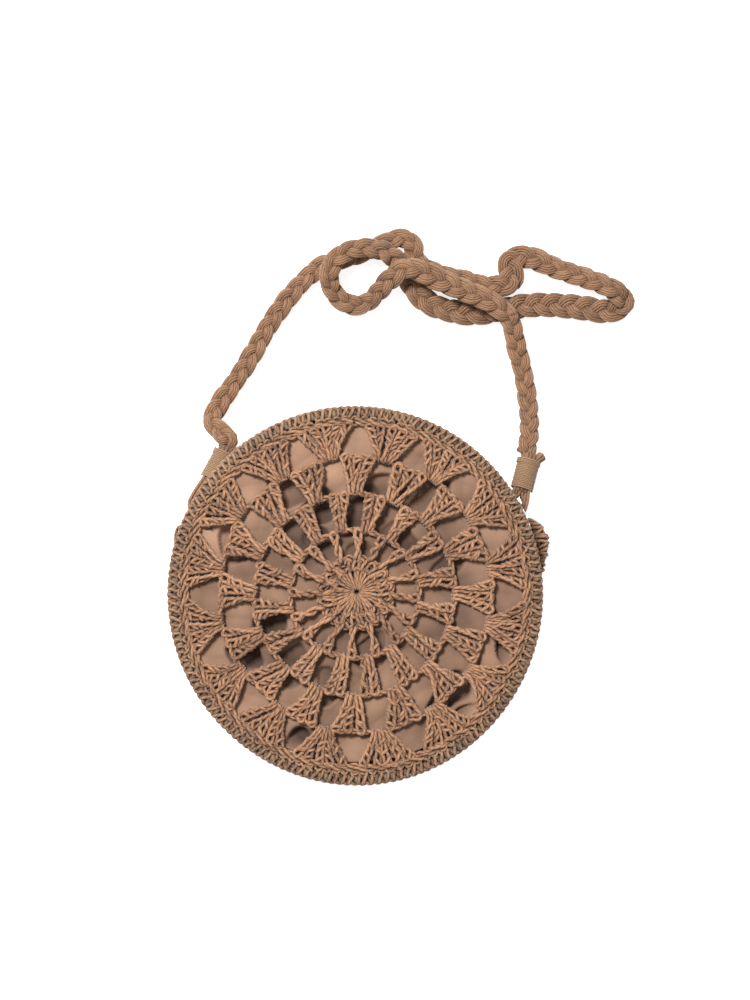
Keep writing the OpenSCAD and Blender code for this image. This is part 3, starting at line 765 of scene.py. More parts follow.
# %% The middle of a post
def post_middle(spec, r0, r1, middle_a, lean_a, u, points):
    """Share of the way, middle line and direction across; u is the place in the fan."""
    t = np.linspace(0, 1, points)
    r = r0 + (r1 - r0) * t
    offset = u * (spec["foot"] + (spec["top"] - spec["foot"]) * t**1.25)
    a = np.radians(middle_a + lean_a * t) + offset / r
    line = np.stack([r * np.sin(a), r * np.cos(a)], axis=1)
    way = np.gradient(line, axis=0)
    way /= np.linalg.norm(way, axis=1)[:, None]
    return t, line, np.stack([way[:, 1], -way[:, 0]], axis=1)


print("fans end up to", max(spec["top"] for spec in ROUNDS), "mm wide")

# %% [markdown]
# The two sides of a post are one cord. Between foot and top they bow, lean and sometimes cross,
# and the wraps lie slanting over both. No two posts of the real bag are alike, so each of these
# numbers is drawn by chance within a narrow range.

# %% One post
# Height of a post over its chain's level, from foot to top: it climbs out of the hole below
POST_AT = (0, 0.07, 0.16, 0.4, 0.7, 1)
POST_RISE = (-1.5, 0.3, 0.7, 0.3, 0.45, 0.2)
POST_Z = DEPTH - FACE_DROP
# Wraps cross a long post at three places, and a short one once
LONG_POST = 15
WRAPS_LONG, WRAPS_SHORT = (0.45, 0.7, 0.9), (0.8,)


def post_loop(line, across, half, spread, heights, radius):
    """The cord of a post: up one side, over the chain in an arch, and down the other side."""
    left, right = (
        np.column_stack([line + across * (side * spread)[:, None], height])
        for side, height in zip((-1, 1), heights)
    )
    turn = np.linspace(0, math.pi, 7)[1:-1]
    ahead = unit(line[-1] - line[-2])
    arch = line[-1] + across[-1] * (-np.cos(turn) * half[-1])[:, None]
    arch = arch + ahead * (np.sin(turn) * half[-1] * 0.9)[:, None]
    arch = np.column_stack([arch, POST_Z + 0.25 + 0.4 * np.sin(turn)])
    return drift(np.concatenate([left, arch, right[::-1]])), radius, False


def post(spec, r0, r1, middle_a, lean_a, u, rng, points, over):
    """A loop of cord from foot to top and back, with the wraps that cross it.

    It leads from radius r0 to r1; over lifts it above or below the post beside it.
    """
    t, line, across = post_middle(spec, r0, r1, middle_a, lean_a, u, points)
    arch = np.sin(math.pi * t)
    bow = rng.uniform(-0.7, 0.7) * arch + rng.uniform(-0.3, 0.3) * np.sin(2 * math.pi * t)
    bow += 0.22 * np.sin((r1 - r0) * t + rng.uniform(0, 6)) * arch
    line = line + across * bow[:, None]
    low, high = spec["pair"]
    half = (low + (high - low) * t**1.6) / 2
    crossing = math.pi * rng.choice(spec["turns"]) * (1 - t) ** 1.3
    spread = half * np.cos(crossing)
    rise = np.interp(t, POST_AT, POST_RISE) + over * (1 - 0.6 * t)
    tilt = rng.uniform(-0.5, 0.5)
    radius = spec["radius"] * rng.uniform(0.94, 1.06)
    heights = [POST_Z + rise + side * (tilt * t + 0.8 * np.sin(crossing)) for side in (-1, 1)]
    strands = [post_loop(line, across, half, spread, heights, radius)]
    lean = rng.choice((-1, 1, 1))
    s = np.linspace(-1, 1, 7)
    for at in WRAPS_LONG if r1 - r0 > LONG_POST else WRAPS_SHORT:
        place = at + rng.uniform(-0.1, 0.08) + lean * rng.uniform(0.06, 0.13) * s
        place = np.clip(place, 0, 1)
        centre = np.column_stack([np.interp(place, t, line[:, k]) for k in (0, 1)])
        beside = np.column_stack([np.interp(place, t, across[:, k]) for k in (0, 1)])
        width = (np.interp(place, t, np.abs(spread)) + radius * 0.8) * s
        lift = np.interp(place, t, rise) + 1.05 * np.cos(s * math.pi / 2) ** 0.6 - 0.35
        wrap = np.column_stack([centre + beside * width[:, None], POST_Z + lift])
        strands.append((drift(wrap), radius * 0.95, False))
    return strands


print("wraps on a long post:", len(WRAPS_LONG))

# %% [markdown]
# A round repeats its group sixteen times, with small differences of place and lean. The chain
# that closes it is pulled out over the tops of the fans.

# %% One round
def crochet_round(index, seed, points):
    """All posts of a round: they stand on the chain below and hold the chain above."""
    spec = ROUNDS[index]
    rng = random.Random(seed + index)
    r0 = ROW_EDGES[index] - FOOT_IN - (WAVES[index - 1] if index else CENTRE_WAVE)
    r1 = ROW_EDGES[index + 1] - TOP_IN + WAVES[index]
    gaps = spec["posts"] - 1
    strands = []
    for k in range(PETALS):
        middle_a = (k + spec["turned"] / 2) * STEP_A + rng.uniform(-0.8, 0.8)
        lean_a = LEAN_A[index] + rng.uniform(-0.7, 0.7)
        for j in range(spec["posts"]):
            u = j / gaps - 0.5 if gaps else 0.0
            u += rng.uniform(-0.02, 0.02)
            top = r1 - 1.2 * WAVES[index] * (2 * u) ** 2 + rng.uniform(-0.4, 0.4)
            foot = r0 + rng.uniform(-0.35, 0.35)
            over = 0.35 * (-1) ** j + rng.uniform(-0.2, 0.2)
            strands += post(spec, foot, top, middle_a, lean_a, u, rng, points, over)
    return strands


def round_chain(index):
    """The chain that closes a round."""
    r1 = ROW_EDGES[index + 1]
    links = 2 * round(2 * math.pi * r1 / (2 * LINK_L))
    turned = ROUNDS[index]["turned"] / 2 * STEP_A
    return chain(r1 - 0.2, FACE_DROP + 0.2, links, 0.75, 0.6, CORD_R, WAVES[index], turned)


print("posts in all:", PETALS * sum(spec["posts"] for spec in ROUNDS))

# %% [markdown]
# The centre is worked close, so its strands lie like the rays of a daisy: one round of rays from
# the small hole, and a second, slanting one whose loops make the holes that the posts stand in.

# %% The close centre
HOLE_R, RAY_END_R = 1.2, 11.6
RAYS, SLANTING_RAYS = 32, 38


def crochet_centre(seed):
    rng = random.Random(seed)
    strands = []
    t = np.linspace(0, 1, 8)
    s = np.linspace(-1, 1, 7)
    for k in range(RAYS):
        a = 360 * k / RAYS + rng.uniform(-1.5, 1.5)
        end = RAY_END_R + rng.uniform(-0.7, 0.7)
        r = HOLE_R + (end - HOLE_R) * t
        drop = FACE_DROP + 0.9 * (1 - t) ** 2 - 0.3 * np.sin(math.pi * t)
        line = on_face(r, a + 5 * t * rng.uniform(0.4, 1.6), drop)
        strands.append((line, 0.28 + 0.65 * np.clip(r / 7.5, 0, 1), False))
    for k in range(SLANTING_RAYS):
        a = 360 * k / SLANTING_RAYS + rng.uniform(-2.5, 2.5)
        lean = rng.choice((-9, 8, 13)) + rng.uniform(-3, 3)
        start = rng.uniform(9.6, 11.2)
        r = start + (rng.uniform(16.6, 18.4) - start) * t
        lift = rng.uniform(0.4, 1.1) * np.sin(math.pi * t)
        line = on_face(r, a + lean * t, FACE_DROP + 0.2 - lift)
        strands.append((line, rng.uniform(0.9, 1.08), False))
    for k in range(PETALS):
        a = k * STEP_A + rng.uniform(-2, 2)
        for low, swing, turn, wide in ((10.9, 1.7, 0, 8), (15.8, 2.2, 7, 7)):
            r = low + rng.uniform(-0.6, 0.4) + swing * np.cos(s * math.pi / 2)
            arch = on_face(r, a + turn + wide * s, FACE_DROP - 0.1 - 0.8 * np.cos(s * 1.5))
            strands.append((arch, 0.84, False))
    for radius, links in ((12.4, 16), (15.0, 20)):
        strands += chain(radius, FACE_DROP + 1.3, links, 0.8, 0.5, 0.95)
    return strands + chain(CENTRE_R - 0.3, FACE_DROP + 0.5, 28, 0.8, 0.6, 0.8)


print(RAYS, "rays, then", SLANTING_RAYS)

# %% [markdown]
# Rounds of close stitches edge the face. Between an inner and an outer chain stands a ring of
# short, fat stitches side by side, with a strand slanting over each gap.

# %% The edge of a face
RIM_STITCHES = 160
# Rounds of arches hang over the inner chain, three to four stitches
RIM_ARCHES = RIM_STITCHES * 3 // 4
# Radius of the inner chain, of the arches over it, and at which the short stitches start
INNER_R, ARCH_R, STITCH_R = 86.2, 87.2, 89.0
STITCH_L = 3.8
# The outer chain, and the three rounds behind it that step in to the side band
RIM_R, RIM_ROUNDS = 92.8, 3
band_low, band_high = box_mm("side_band")
BAND_IN = 1.7
BAND_R = band_high[0] - BAND_IN
RIM_STEP = (RIM_R - BAND_R) / RIM_ROUNDS
# Strands that slant over each gap: where they start and end, their lean and their radius
GAP_STRANDS = ((87.2, 93.4, 1.5, 0.88), (86.9, 90.4, -1.6, 0.78))


def rim_stitches(seed):
    rng = random.Random(seed)
    lobes, strands = [], []
    t = np.linspace(0, 1, 7)
    s = np.linspace(-1, 1, 7)
    arch = np.sin(math.pi * t)
    for k in range(RIM_STITCHES):
        a = 360 * k / RIM_STITCHES + rng.uniform(-0.3, 0.3)
        r = STITCH_R + rng.uniform(-0.4, 0.4) + (STITCH_L + rng.uniform(-0.3, 0.3)) * t
        swell = 1.35 + 0.4 * arch**0.7 + rng.uniform(-0.2, 0.15)
        drop = FACE_DROP + 0.9 + rng.uniform(-0.4, 0.5) + 0.9 * t**3
        lobes.append((on_face(r, a - rng.uniform(0.2, 0.9) * t, drop), swell, False))
        gap_a = a + 180 / RIM_STITCHES
        for low, high, lean, radius in GAP_STRANDS:
            lean = lean + rng.uniform(-1.0, 1.0)
            drop = FACE_DROP + 0.35 - rng.uniform(0.4, 1.3) * arch**0.8
            line = on_face(low + (high - low) * t, gap_a + lean * (t - 0.5), drop)
            strands.append((line, radius, False))
    for k in range(RIM_ARCHES):
        a = 360 * k / RIM_ARCHES + rng.uniform(-0.3, 0.3)
        r = ARCH_R + 1.5 * np.cos(s * math.pi / 2) + 0.4 * s
        line = on_face(r, a + 1.35 * s, FACE_DROP - 0.1 - 0.7 * np.cos(s * 1.5))
        strands.append((line, 0.7, False))
    return lobes, strands


def crochet_rim(seed):
    lobes, strands = rim_stitches(seed)
    strands += chain(RIM_R - 0.2, FACE_DROP + 1.5, RIM_STITCHES, 0.8, 0.75, 1.0, per_link=6)
    strands += chain(INNER_R, FACE_DROP - 0.2, RIM_STITCHES // 2, 0.95, 0.7, 0.92, 0.4, per_link=7)
    for j in range(RIM_ROUNDS):
        r = RIM_R - 0.1 - j * RIM_STEP
        strands += chain(r, 4.5 + 2.8 * j, RIM_STITCHES, 0.75, 0.9, 1.05, per_link=6)
    return lobes, strands


print(RIM_STITCHES, "stitches round the edge")

# %% [markdown]
# The back is worked like the front and turned over, in less detail. Each round becomes a piece
# of its own; the first one stands for the whole panel.

# %% Both faces
def turned_over(strands):
    """The same work for the back of the bag: x and z change sides."""
    return [
        (np.array([0, 0, DEPTH]) + line * (-1, 1, -1), radius, closed)
        for line, radius, closed in strands
    ]


def finish_crochet(piece, *nodes, cotton=None):
    piece.data.materials.append(cotton or cord_cotton)
    if nodes:
        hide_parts(*nodes)
    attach(piece, "bag")


ROUND_NAMES = ("single_posts", "small_groups", "inner_fans", "outer_fans")


def crochet_face(side, way, seeds, points, sides):
    """All pieces of one face; way turns the strands, and the seeds are for centre, rounds, edge."""
    centre, rounds, edge = seeds
    piece = strand_mesh(side + "_centre", way(crochet_centre(centre)), sides=sides)
    finish_crochet(piece, side + "_panel")
    for index, name in enumerate(ROUND_NAMES):
        strands = crochet_round(index, rounds, points) + round_chain(index)
        finish_crochet(strand_mesh(side + "_" + name, way(strands), sides=sides))
    lobes, strands = crochet_rim(edge)
    piece = strand_mesh(side + "_edge", way(strands), sides=sides)
    finish_crochet(piece, side + "_rim", cotton=shaded_rim_cotton)
    piece = strand_mesh(side + "_edge_stitches", way(lobes), sides=sides)
    finish_crochet(piece, cotton=greyish_cotton)
    print(side, "face from seeds", seeds)


crochet_face("front", list, (3, 20, 5), 15, FINE_SIDES)
crochet_face("back", turned_over, (8, 40, 9), 10, COARSE_SIDES)

# %% [markdown]
# The side is worked in rounds as well, from the end of one zip tape round the bottom of the bag
# to the other. Each is a chain of two strands.

# %% The side band
BAND_END_A = 66
BAND_ROUNDS = 9
# Crossings of the two strands of a round, in a full turn round the bag
BAND_CROSSINGS = 62


def side_rounds():
    strands = []
    first, last = band_low[2] + BAND_IN, band_high[2] - BAND_IN
    a = np.radians(np.linspace(BAND_END_A, 360 - BAND_END_A, 1000))
    for j in range(BAND_ROUNDS):
        z = first + (last - first) * j / (BAND_ROUNDS - 1)
        for k in range(2):
            angle = a * BAND_CROSSINGS + math.pi * k + 0.8 * j
            r = BAND_R + 0.75 * np.cos(angle)
            line = np.stack([r * np.sin(a), r * np.cos(a), z + 0.85 * np.sin(angle)], axis=1)
            strands.append((line, 0.92, False))
    return strands


print("side band from", band_low.round(1), "to", band_high.round(1))
finish_crochet(strand_mesh("side_rounds", side_rounds(), sides=COARSE_SIDES), "side_band")

# %% [markdown]
# ## The lining
#
# A bag of thin cotton cloth hangs inside the crochet and shows through every hole. It is a
# little too big, so it lies in soft folds, and it sinks away from the face between the rounds of
# stitches. It is drawn as a fine grid that is pushed down along crossing folds.
#
# The cloth is cotton lawn, a fine plain weave that has been washed and worn. Its threads hardly
# show from this far, but they break the light, so it has a soft bloom and no shine. Shade is
# painted into its colour where it has sunk into a hollow, and light near the top of the face,
# which an attribute of the mesh tells the material.

# %% Lining cloth
THREAD_MM = 0.45
# A wave texture repeats once in about this many of its own steps
WAVE_TURN = 6.283
# Faded patches and small creases
FADED_MM, CREASE_MM = 35.7, 6.25
# Share of the painted shade that the mesh's shade attribute gives the colour
PAINTED_SHADE_SHARE = -0.55
CREASE_TO_WEAVE = 8


def lining_cloth(name, light, dark):
    """Cotton lawn: plain weave, soft, faintly creased, painted darker where it sinks and lighter
    near the top of the face.
    """
    material, tree, shader = new_material(name, Roughness=0.8, Sheen_Weight=0.15)
    place = add_node(tree, "ShaderNodeTexCoord").outputs["Object"]
    patch = add_node(tree, NOISE, Vector=place, Scale=1 / (FADED_MM * MM), Detail=3)
    # Painted shade: darker where the cloth sinks, painted light near the top of the face
    painted_shade = add_node(tree, "ShaderNodeAttribute", {"attribute_name": "shade"}).outputs["Fac"]
    tone = add_node(tree, MATH, {"operation": "MULTIPLY_ADD"}, i0=painted_shade, i1=PAINTED_SHADE_SHARE, i2=patch)
    colour = add_node(tree, RAMP, {"stops": [(0.0, dark), (0.62, light)]}, Fac=tone)
    thread = dict(Vector=place, Scale=1 / (THREAD_MM * MM * WAVE_TURN), Distortion=1.5)
    warp, weft = (
        add_node(tree, "ShaderNodeTexWave", {"bands_direction": way}, **thread).outputs["Fac"]
        for way in ("X", "Y")
    )
    weave = add_node(tree, MATH, {"operation": "ADD"}, i0=warp, i1=weft)
    crease = add_node(tree, NOISE, Vector=place, Scale=1 / (CREASE_MM * MM), Detail=4)
    parts = dict(i0=crease, i1=CREASE_TO_WEAVE, i2=weave)
    relief = add_node(tree, MATH, {"operation": "MULTIPLY_ADD"}, **parts)
    bump = add_node(tree, BUMP, Height=relief, Strength=0.5, Distance=0.05 * MM)
    feed(tree, shader, dict(Base_Color=colour, Normal=bump))
    return material


lining_cotton = lining_cloth("cotton lawn lining", "#b38b70", "#503a2d")
print("threads of the lining", THREAD_MM, "mm apart")

# %% [markdown]
# The cloth is pushed down into hollows, and those behind the front are placed where the
# photograph shows them dark.

# %% Hollows and folds
# Hollows in the cloth behind the front: place, half width and half height in millimetres,
# turn in degrees, and depth
HOLLOWS = [
    (-34, 52, 12, 9, -20, 6.0), (-17, 42, 11, 9, 0, 6.0), (0, 45, 9, 13, 0, 6.5),
    (12, 52, 14, 8, -5, 5.5), (33, 51, 13, 9, 25, 6.0), (16, 36, 9, 11, 20, 4.0),
    (-30, 28, 11, 10, 30, 4.5), (-18, 24, 8, 9, 0, 4.0), (24, 27, 9, 9, 0, 4.0),
    (-45, -15, 9, 7, 30, 6.5), (-54, -31, 9, 8, 40, 7.0), (-30, -37, 9, 11, -20, 4.0),
    (-62, 22, 7, 10, 0, 4.5), (46, 14, 8, 8, 0, 3.5), (79, -28, 6, 8, 20, 7.0),
    (47, -51, 10, 9, 30, 6.0), (-30, -76, 8, 9, -20, 6.5), (-14, -48, 7, 10, 0, 3.5),
    (60, -66, 8, 8, 30, 5.0), (68, 55, 7, 7, 0, 6.0), (10, -30, 9, 9, 0, 3.5),
    (-72, 39, 6, 7, 0, 5.0), (0, 22, 6, 7, 0, 3.0),
]


SMALL_FOLDS = 7
# A hollow reaches this far in its half widths, and its edge slopes over this share of them
HOLLOW_REACH, HOLLOW_EDGE = 1.12, 0.3
MOST_DEPTH = 10


def fold_depth(x, y, seed, hollows):
    """How far the cloth sinks at a place, in millimetres."""
    rng = random.Random(seed)
    depth = np.zeros_like(x)
    for _ in range(SMALL_FOLDS):
        a = rng.uniform(0, math.pi)
        run = x * math.cos(a) + y * math.sin(a)
        cross = -x * math.sin(a) + y * math.cos(a)
        along = run / rng.uniform(6, 14)
        wave = np.sin(along + 1.2 * np.sin(cross / rng.uniform(15, 30)) + rng.uniform(0, 6))
        depth += rng.uniform(0.4, 0.9) * (1 - np.abs(wave)) ** 1.5
    # Cloth doesn't sink in even rings: the edges of the hollows wander
    x, y = (
        x + 2.2 * np.sin(y / 5 + 1) + 1.2 * np.sin(x / 3.1 + y / 7),
        y + 2.2 * np.sin(x / 6 + 2) + 1.3 * np.sin(y / 3.7 - x / 5),
    )
    for px, py, half_w, half_h, turn, deep in hollows:
        a = math.radians(turn)
        u = ((x - px) * math.cos(a) + (y - py) * math.sin(a)) / half_w
        v = (-(x - px) * math.sin(a) + (y - py) * math.cos(a)) / half_h
        near = np.clip((HOLLOW_REACH - np.sqrt(u * u + v * v)) / HOLLOW_EDGE, 0, 1)
        depth = np.maximum(depth, deep * near * near * (3 - 2 * near) + 0.4 * depth)
    return depth


print(len(HOLLOWS), "hollows behind the front")

# %% [markdown]
# A sheet starts as a square grid whose points are moved to their places, and it gets its
# thickness last. For the round behind a face the square is drawn into a circle, which keeps its
# cells nearly square, so that folds come out equally fine everywhere.

# %% Sheets of cloth
def cloth_grid(name, columns, rows):
    """A square grid of cells, and its points, which run from -1 to 1."""
    bpy.ops.object.select_all(action="DESELECT")
    bpy.ops.mesh.primitive_grid_add(x_subdivisions=columns, y_subdivisions=rows, size=2)
    piece = bpy.context.object
    piece.name = name
    points = np.empty(len(piece.data.vertices) * 3)
    piece.data.vertices.foreach_get("co", points)
    return piece, points.reshape(-1, 3)


def move_points(mesh, *coordinates):
    mesh.vertices.foreach_set("co", (np.stack(coordinates, axis=1) * MM).ravel())


def give_thickness(piece, thickness):
    solid = piece.modifiers.new("cloth", "SOLIDIFY")
    solid.thickness = thickness * MM
    solid.offset = 0
    bpy.ops.object.modifier_apply(modifier="cloth")
    bpy.ops.object.shade_smooth()


DISC_CELLS = 200
DISC_T = 0.3
# Width of the sewn edge, where the cloth can't sink
SEWN_W = 8
# Light is painted into the cloth's colour near the top of the face
LIT_FROM_R, LIT_OVER, LIT_FROM_Y = 55, 8, 30
# Painted shade of the cloth where it lies level, and the depth at which the painted shade is
# darkest
LEVEL_SHADE, DARK_DEPTH = 0.25, 8


def lining_disc(name, node, way, seed, hollows):
    """A round of cloth behind a face; way is 1 for the front and -1 for the back."""
    low, high = box_mm(node)
    radius = high[0] - DISC_T
    z = high[2] - DISC_T if way > 0 else low[2] + DISC_T
    piece, points = cloth_grid(name, DISC_CELLS, DISC_CELLS)
    u, v = points[:, 0], points[:, 1]
    x = u * np.sqrt(1 - v * v / 2) * radius
    y = v * np.sqrt(1 - u * u / 2) * radius
    fade = np.clip((radius - np.hypot(x, y)) / SEWN_W, 0, 1)
    depth = np.clip(fold_depth(x, y, seed, hollows), 0, MOST_DEPTH) * fade
    lit_top = np.clip((np.hypot(x, y) - LIT_FROM_R) / LIT_OVER, 0, 1)
    lit_top = lit_top * np.clip(y / LIT_FROM_Y, 0, 1)
    # Painted shade and painted light: deeper cloth is painted darker, the top of the face lighter
    shade = LEVEL_SHADE * (1 - lit_top) + (1 - LEVEL_SHADE) * depth / DARK_DEPTH
    shade = np.clip(shade, 0, 1)
    move_points(piece.data, x, y, z - way * depth)
    values = piece.data.attributes.new("shade", "FLOAT", "POINT").data
    values.foreach_set("value", shade.astype(np.float32))
    give_thickness(piece, DISC_T)
    piece.data.materials.append(lining_cotton)
    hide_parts(node)
    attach(piece, "bag")
    print(name, "sinks up to", round(float(depth.max()), 1), "mm")


lining_disc("lining_cloth_front", "lining_front", 1, 2, HOLLOWS)
lining_disc("lining_cloth_back", "lining_back", -1, 6, [])

# %% [markdown]
# The lining's side is a strip of the same cloth behind the side band. It is open along the zip,
# where its mouth is turned under and sewn to the tapes.

# %% Strips of cloth round the side
STRIP_T = 0.5
# Points closer than this become one, where the two ends of a ring meet
SEAM_GAP = 0.02


def cut_mouth(mesh, mouth):
    """Delete the faces between two heights and two clock angles, and close the seam of the ring."""
    low, high, from_a, to_a = mouth
    bpy.ops.object.mode_set(mode="EDIT")
    bpy.ops.mesh.select_all(action="DESELECT")
    bpy.ops.object.mode_set(mode="OBJECT")
    for face in mesh.polygons:
        x, y, z = face.center / MM
        face.select = low < z < high and from_a < math.degrees(math.atan2(x, y)) < to_a
    bpy.ops.object.mode_set(mode="EDIT")
    bpy.ops.mesh.delete(type="FACE")
    bpy.ops.mesh.select_all(action="SELECT")
    bpy.ops.mesh.remove_doubles(threshold=SEAM_GAP * MM)
    bpy.ops.object.mode_set(mode="OBJECT")


def side_strip(name, node, radius, span_a, wave, cells, mouth=(0, 0, 0, 0)):
    """A strip that stands round the side, between two clock angles, as high as its node."""
    low_z, high_z = (corner[2] for corner in box_mm(node))
    piece, points = cloth_grid(name, *cells)
    mesh = piece.data
    a = span_a[0] + (span_a[1] - span_a[0]) * (points[:, 0] + 1) / 2
    share = (points[:, 1] + 1) / 2
    z = low_z + (high_z - low_z) * share
    ripple = wave * (np.sin(np.radians(a * 9) + z / 5) + 0.6 * np.sin(np.radians(a * 23)))
    r = radius + ripple * np.sin(math.pi * share)
    a = np.radians(a)
    move_points(mesh, r * np.sin(a), r * np.cos(a), z)
    length, height = math.radians(span_a[1] - span_a[0]) * radius, high_z - low_z
    uv = np.empty(len(mesh.loops) * 2)
    mesh.uv_layers[0].data.foreach_get("uv", uv)
    mesh.uv_layers[0].data.foreach_set("uv", (uv.reshape(-1, 2) * (length, height)).ravel())
    faces = len(mesh.polygons)
    cut_mouth(mesh, mouth)
    share = len(mesh.polygons) / faces
    give_thickness(piece, STRIP_T)
    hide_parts(node)
    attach(piece, "bag")
    print(name, "flat", round(length), "x", round(height), "mm")
    return piece


print("strips of cloth are", STRIP_T, "mm thick")

# %% [markdown]
# The lining's strip is a closed ring. Its mouth runs from stop to stop of the zip.

# %% The lining's side
# Lowest and highest edge of the mouth, and its two ends as clock angles
MOUTH = (16, 32, -41, 49.5)
lining_r = box_mm("lining_side")[1][0] - 0.4
side_cloth = side_strip("lining_cloth_side", "lining_side", lining_r, (0, 360), 0, (300, 24), MOUTH)
side_cloth.data.materials.append(lining_cotton)

# %% [markdown]
# ## The zip
#
# Two woven tapes carry the teeth along the top of the side. Tape is a close herringbone, so its
# threads run in slanting ribs that turn back on each other.

# %% Zip tapes
RIB_COLUMN_MM = 1.5


def zip_tape_cloth(name, light, dark, rib_mm):
    """Herringbone tape: ribs at a pitch, slanting one way and then the other."""
    material, tree, shader = new_material(name, Roughness=0.75)
    uv = add_node(tree, "ShaderNodeUVMap", {"uv_map": "UVMap"})
    split = add_node(tree, "ShaderNodeSeparateXYZ", Vector=uv).outputs
    column = add_node(tree, MATH, {"operation": "PINGPONG"}, i0=split["Y"], i1=RIB_COLUMN_MM)
    slant = add_node(tree, MATH, {"operation": "ADD"}, i0=split["X"], i1=column)
    angle = add_node(tree, MATH, {"operation": "MULTIPLY"}, i0=slant, i1=2 * math.pi / rib_mm)
    rib = add_node(tree, MATH, {"operation": "SINE"}, i0=angle)
    colour = add_node(tree, RAMP, {"stops": [(0.0, dark), (0.9, light)]}, Fac=rib)
    bump = add_node(tree, BUMP, Height=rib, Strength=0.8, Distance=0.12 * MM)
    feed(tree, shader, dict(Base_Color=colour, Normal=bump))
    return material


TAPE_END_A = 66
tape_weave = zip_tape_cloth("zip tape, woven polyester", "#8f6f54", "#65492f", 0.9)
for side in ("front", "back"):
    node = "zip_tape_" + side
    tape_r = box_mm(node)[1][1] - 0.3
    tape = side_strip("tape_" + side, node, tape_r, (-TAPE_END_A, TAPE_END_A), 0.12, (200, 10))
    tape.data.materials.append(tape_weave)

# %% [markdown]
# The teeth, the slider, its pull and the stops keep their CAD shapes. Teeth are moulded plastic
# in the colour of the cord, and the metal parts are plated: bright, with fine scratches.

# %% Plastic and metal
# Duller patches and scratches of the plating, and faint clouds in the plastic
DULL_MM, SCRATCH_MM, CLOUD_MM = 11.1, 2.38, 3.33
# Scratches are this many times as long as they are wide
SCRATCH_L = 14


def plated_metal(name, colour, roughness, scratch):
    """Bright plating, a little duller in patches and finely scratched."""
    material, tree, shader = new_material(name, Base_Color=linear(colour), Metallic=1)
    place = add_node(tree, "ShaderNodeTexCoord").outputs["Object"]
    stretched = add_node(tree, "ShaderNodeMapping", Vector=place, Scale=(1, 1, SCRATCH_L))
    dull = add_node(tree, NOISE, Vector=place, Scale=1 / (DULL_MM * MM), Detail=2)
    rough = add_node(tree, MATH, {"operation": "MULTIPLY_ADD"}, i0=dull, i1=0.18, i2=roughness)
    fine = add_node(tree, NOISE, Vector=stretched, Scale=1 / (SCRATCH_MM * MM), Detail=5)
    bump = add_node(tree, BUMP, Height=fine, Strength=scratch, Distance=0.02 * MM)
    feed(tree, shader, dict(Roughness=rough, Normal=bump))
    return material


def moulded_plastic(name, light, dark):
    """Plastic with the faint clouds and fine pits of a mould."""
    material, tree, shader = new_material(name, Roughness=0.38)
    place = add_node(tree, "ShaderNodeTexCoord").outputs["Object"]
    cloud = add_node(tree, NOISE, Vector=place, Scale=1 / (CLOUD_MM * MM), Detail=2)
    colour = add_node(tree, RAMP, {"stops": [(0.3, dark), (0.7, light)]}, Fac=cloud)
    bump = add_node(tree, BUMP, Height=cloud, Strength=0.3, Distance=0.02 * MM)
    feed(tree, shader, dict(Base_Color=colour, Normal=bump))
    return material


ring_steel = plated_metal("ring, nickel-plated steel", "#dcdcd8", 0.12, 0.25)
zip_steel = plated_metal("zip parts, plated", "#b9b4a8", 0.24, 0.5)
tooth_plastic = moulded_plastic("moulded teeth", "#84644a", "#6d503a")
FINISHES = {
    ring_steel: ("ring_left", "ring_right"),
    zip_steel: ("zip_slider", "zip_pull", "zip_top_stops", "zip_bottom_stop"),
    tooth_plastic: ("zip_teeth_front", "zip_teeth_back"),
}
for material, nodes in FINISHES.items():
    for node in nodes:
        for slot in bpy.data.objects[node].material_slots:
            slot.material = material
    print(material.name, "on", len(nodes), "pieces")

# %% [markdown]
# ## The ring tabs
#
# A crocheted strip is folded round the near side of each ring and sewn down along the side. It
# is worked lengthwise, so it shows as cords side by side. The strip on the right stands off in a
# slack loop and runs out into a wide flap, which bulges past the edge of the face.

# %% Cords of a tab
TAB_W = 8
# Layers of cords: how slack each is, and how far its nose stands out
TABS = {
    "right": dict(
        sign=1, clock=73, cord_r=0.95, flap_a=13, flap_w=17,
        layers=((3.6, 3.0), (1.6, 2.0), (-0.4, 1.0), (-2.0, 0)),
    ),
    "left": dict(sign=-1, clock=71.5, cord_r=0.65, flap_a=10, flap_w=8, layers=((-1.0, 0.0),)),
}
# Radius at which the ring's wire passes through its tab
TAB_PIN_R = band_high[0] + 4.6
TAB_CORDS = 6


def tab_line(spec, share, slack, nose, rng):
    """One cord of a tab: from the side up round the wire of the ring and back down."""
    out, pin = band_high[0], TAB_PIN_R
    flap_a = spec["flap_a"]
    # turn from the tab's clock angle, radius, and how much of the flap's extra width is reached
    points = [
        (flap_a, out + 0.9, 1.0),
        (flap_a * 0.5, out + 1.0, 0.7),
        (3.0, out + 1.1, 0.0),
        (0.4 - nose * 0.4, out + 1.3, 0.0),
        (-1.8 - nose * 0.9, pin - 1.4 + nose * 0.3, 0.0),
        (-2.4 - nose, pin + 0.5 + nose * 0.4, 0.0),
        (-1.4 - nose * 0.7, pin + 2.6 + slack * 0.6, 0.0),
        (0.8, pin + 3.2 + slack, 0.1),
        (4.0, out + 6.0 + slack * 1.1, 0.35),
        (flap_a * 0.55, out + 3.4 + slack, 0.8),
        (flap_a, out + 2.3 + slack * 0.3, 1.0),
    ]
    line = []
    for turn, r, wide in points:
        a = math.radians(spec["clock"] + turn * rng.uniform(0.94, 1.06))
        width = TAB_W + (spec["flap_w"] - TAB_W) * wide - 2 * spec["cord_r"]
        r += rng.uniform(-0.25, 0.25)
        line.append((spec["sign"] * r * math.sin(a), r * math.cos(a), MID_Z + share * width))
    return smooth_line(line, 6)


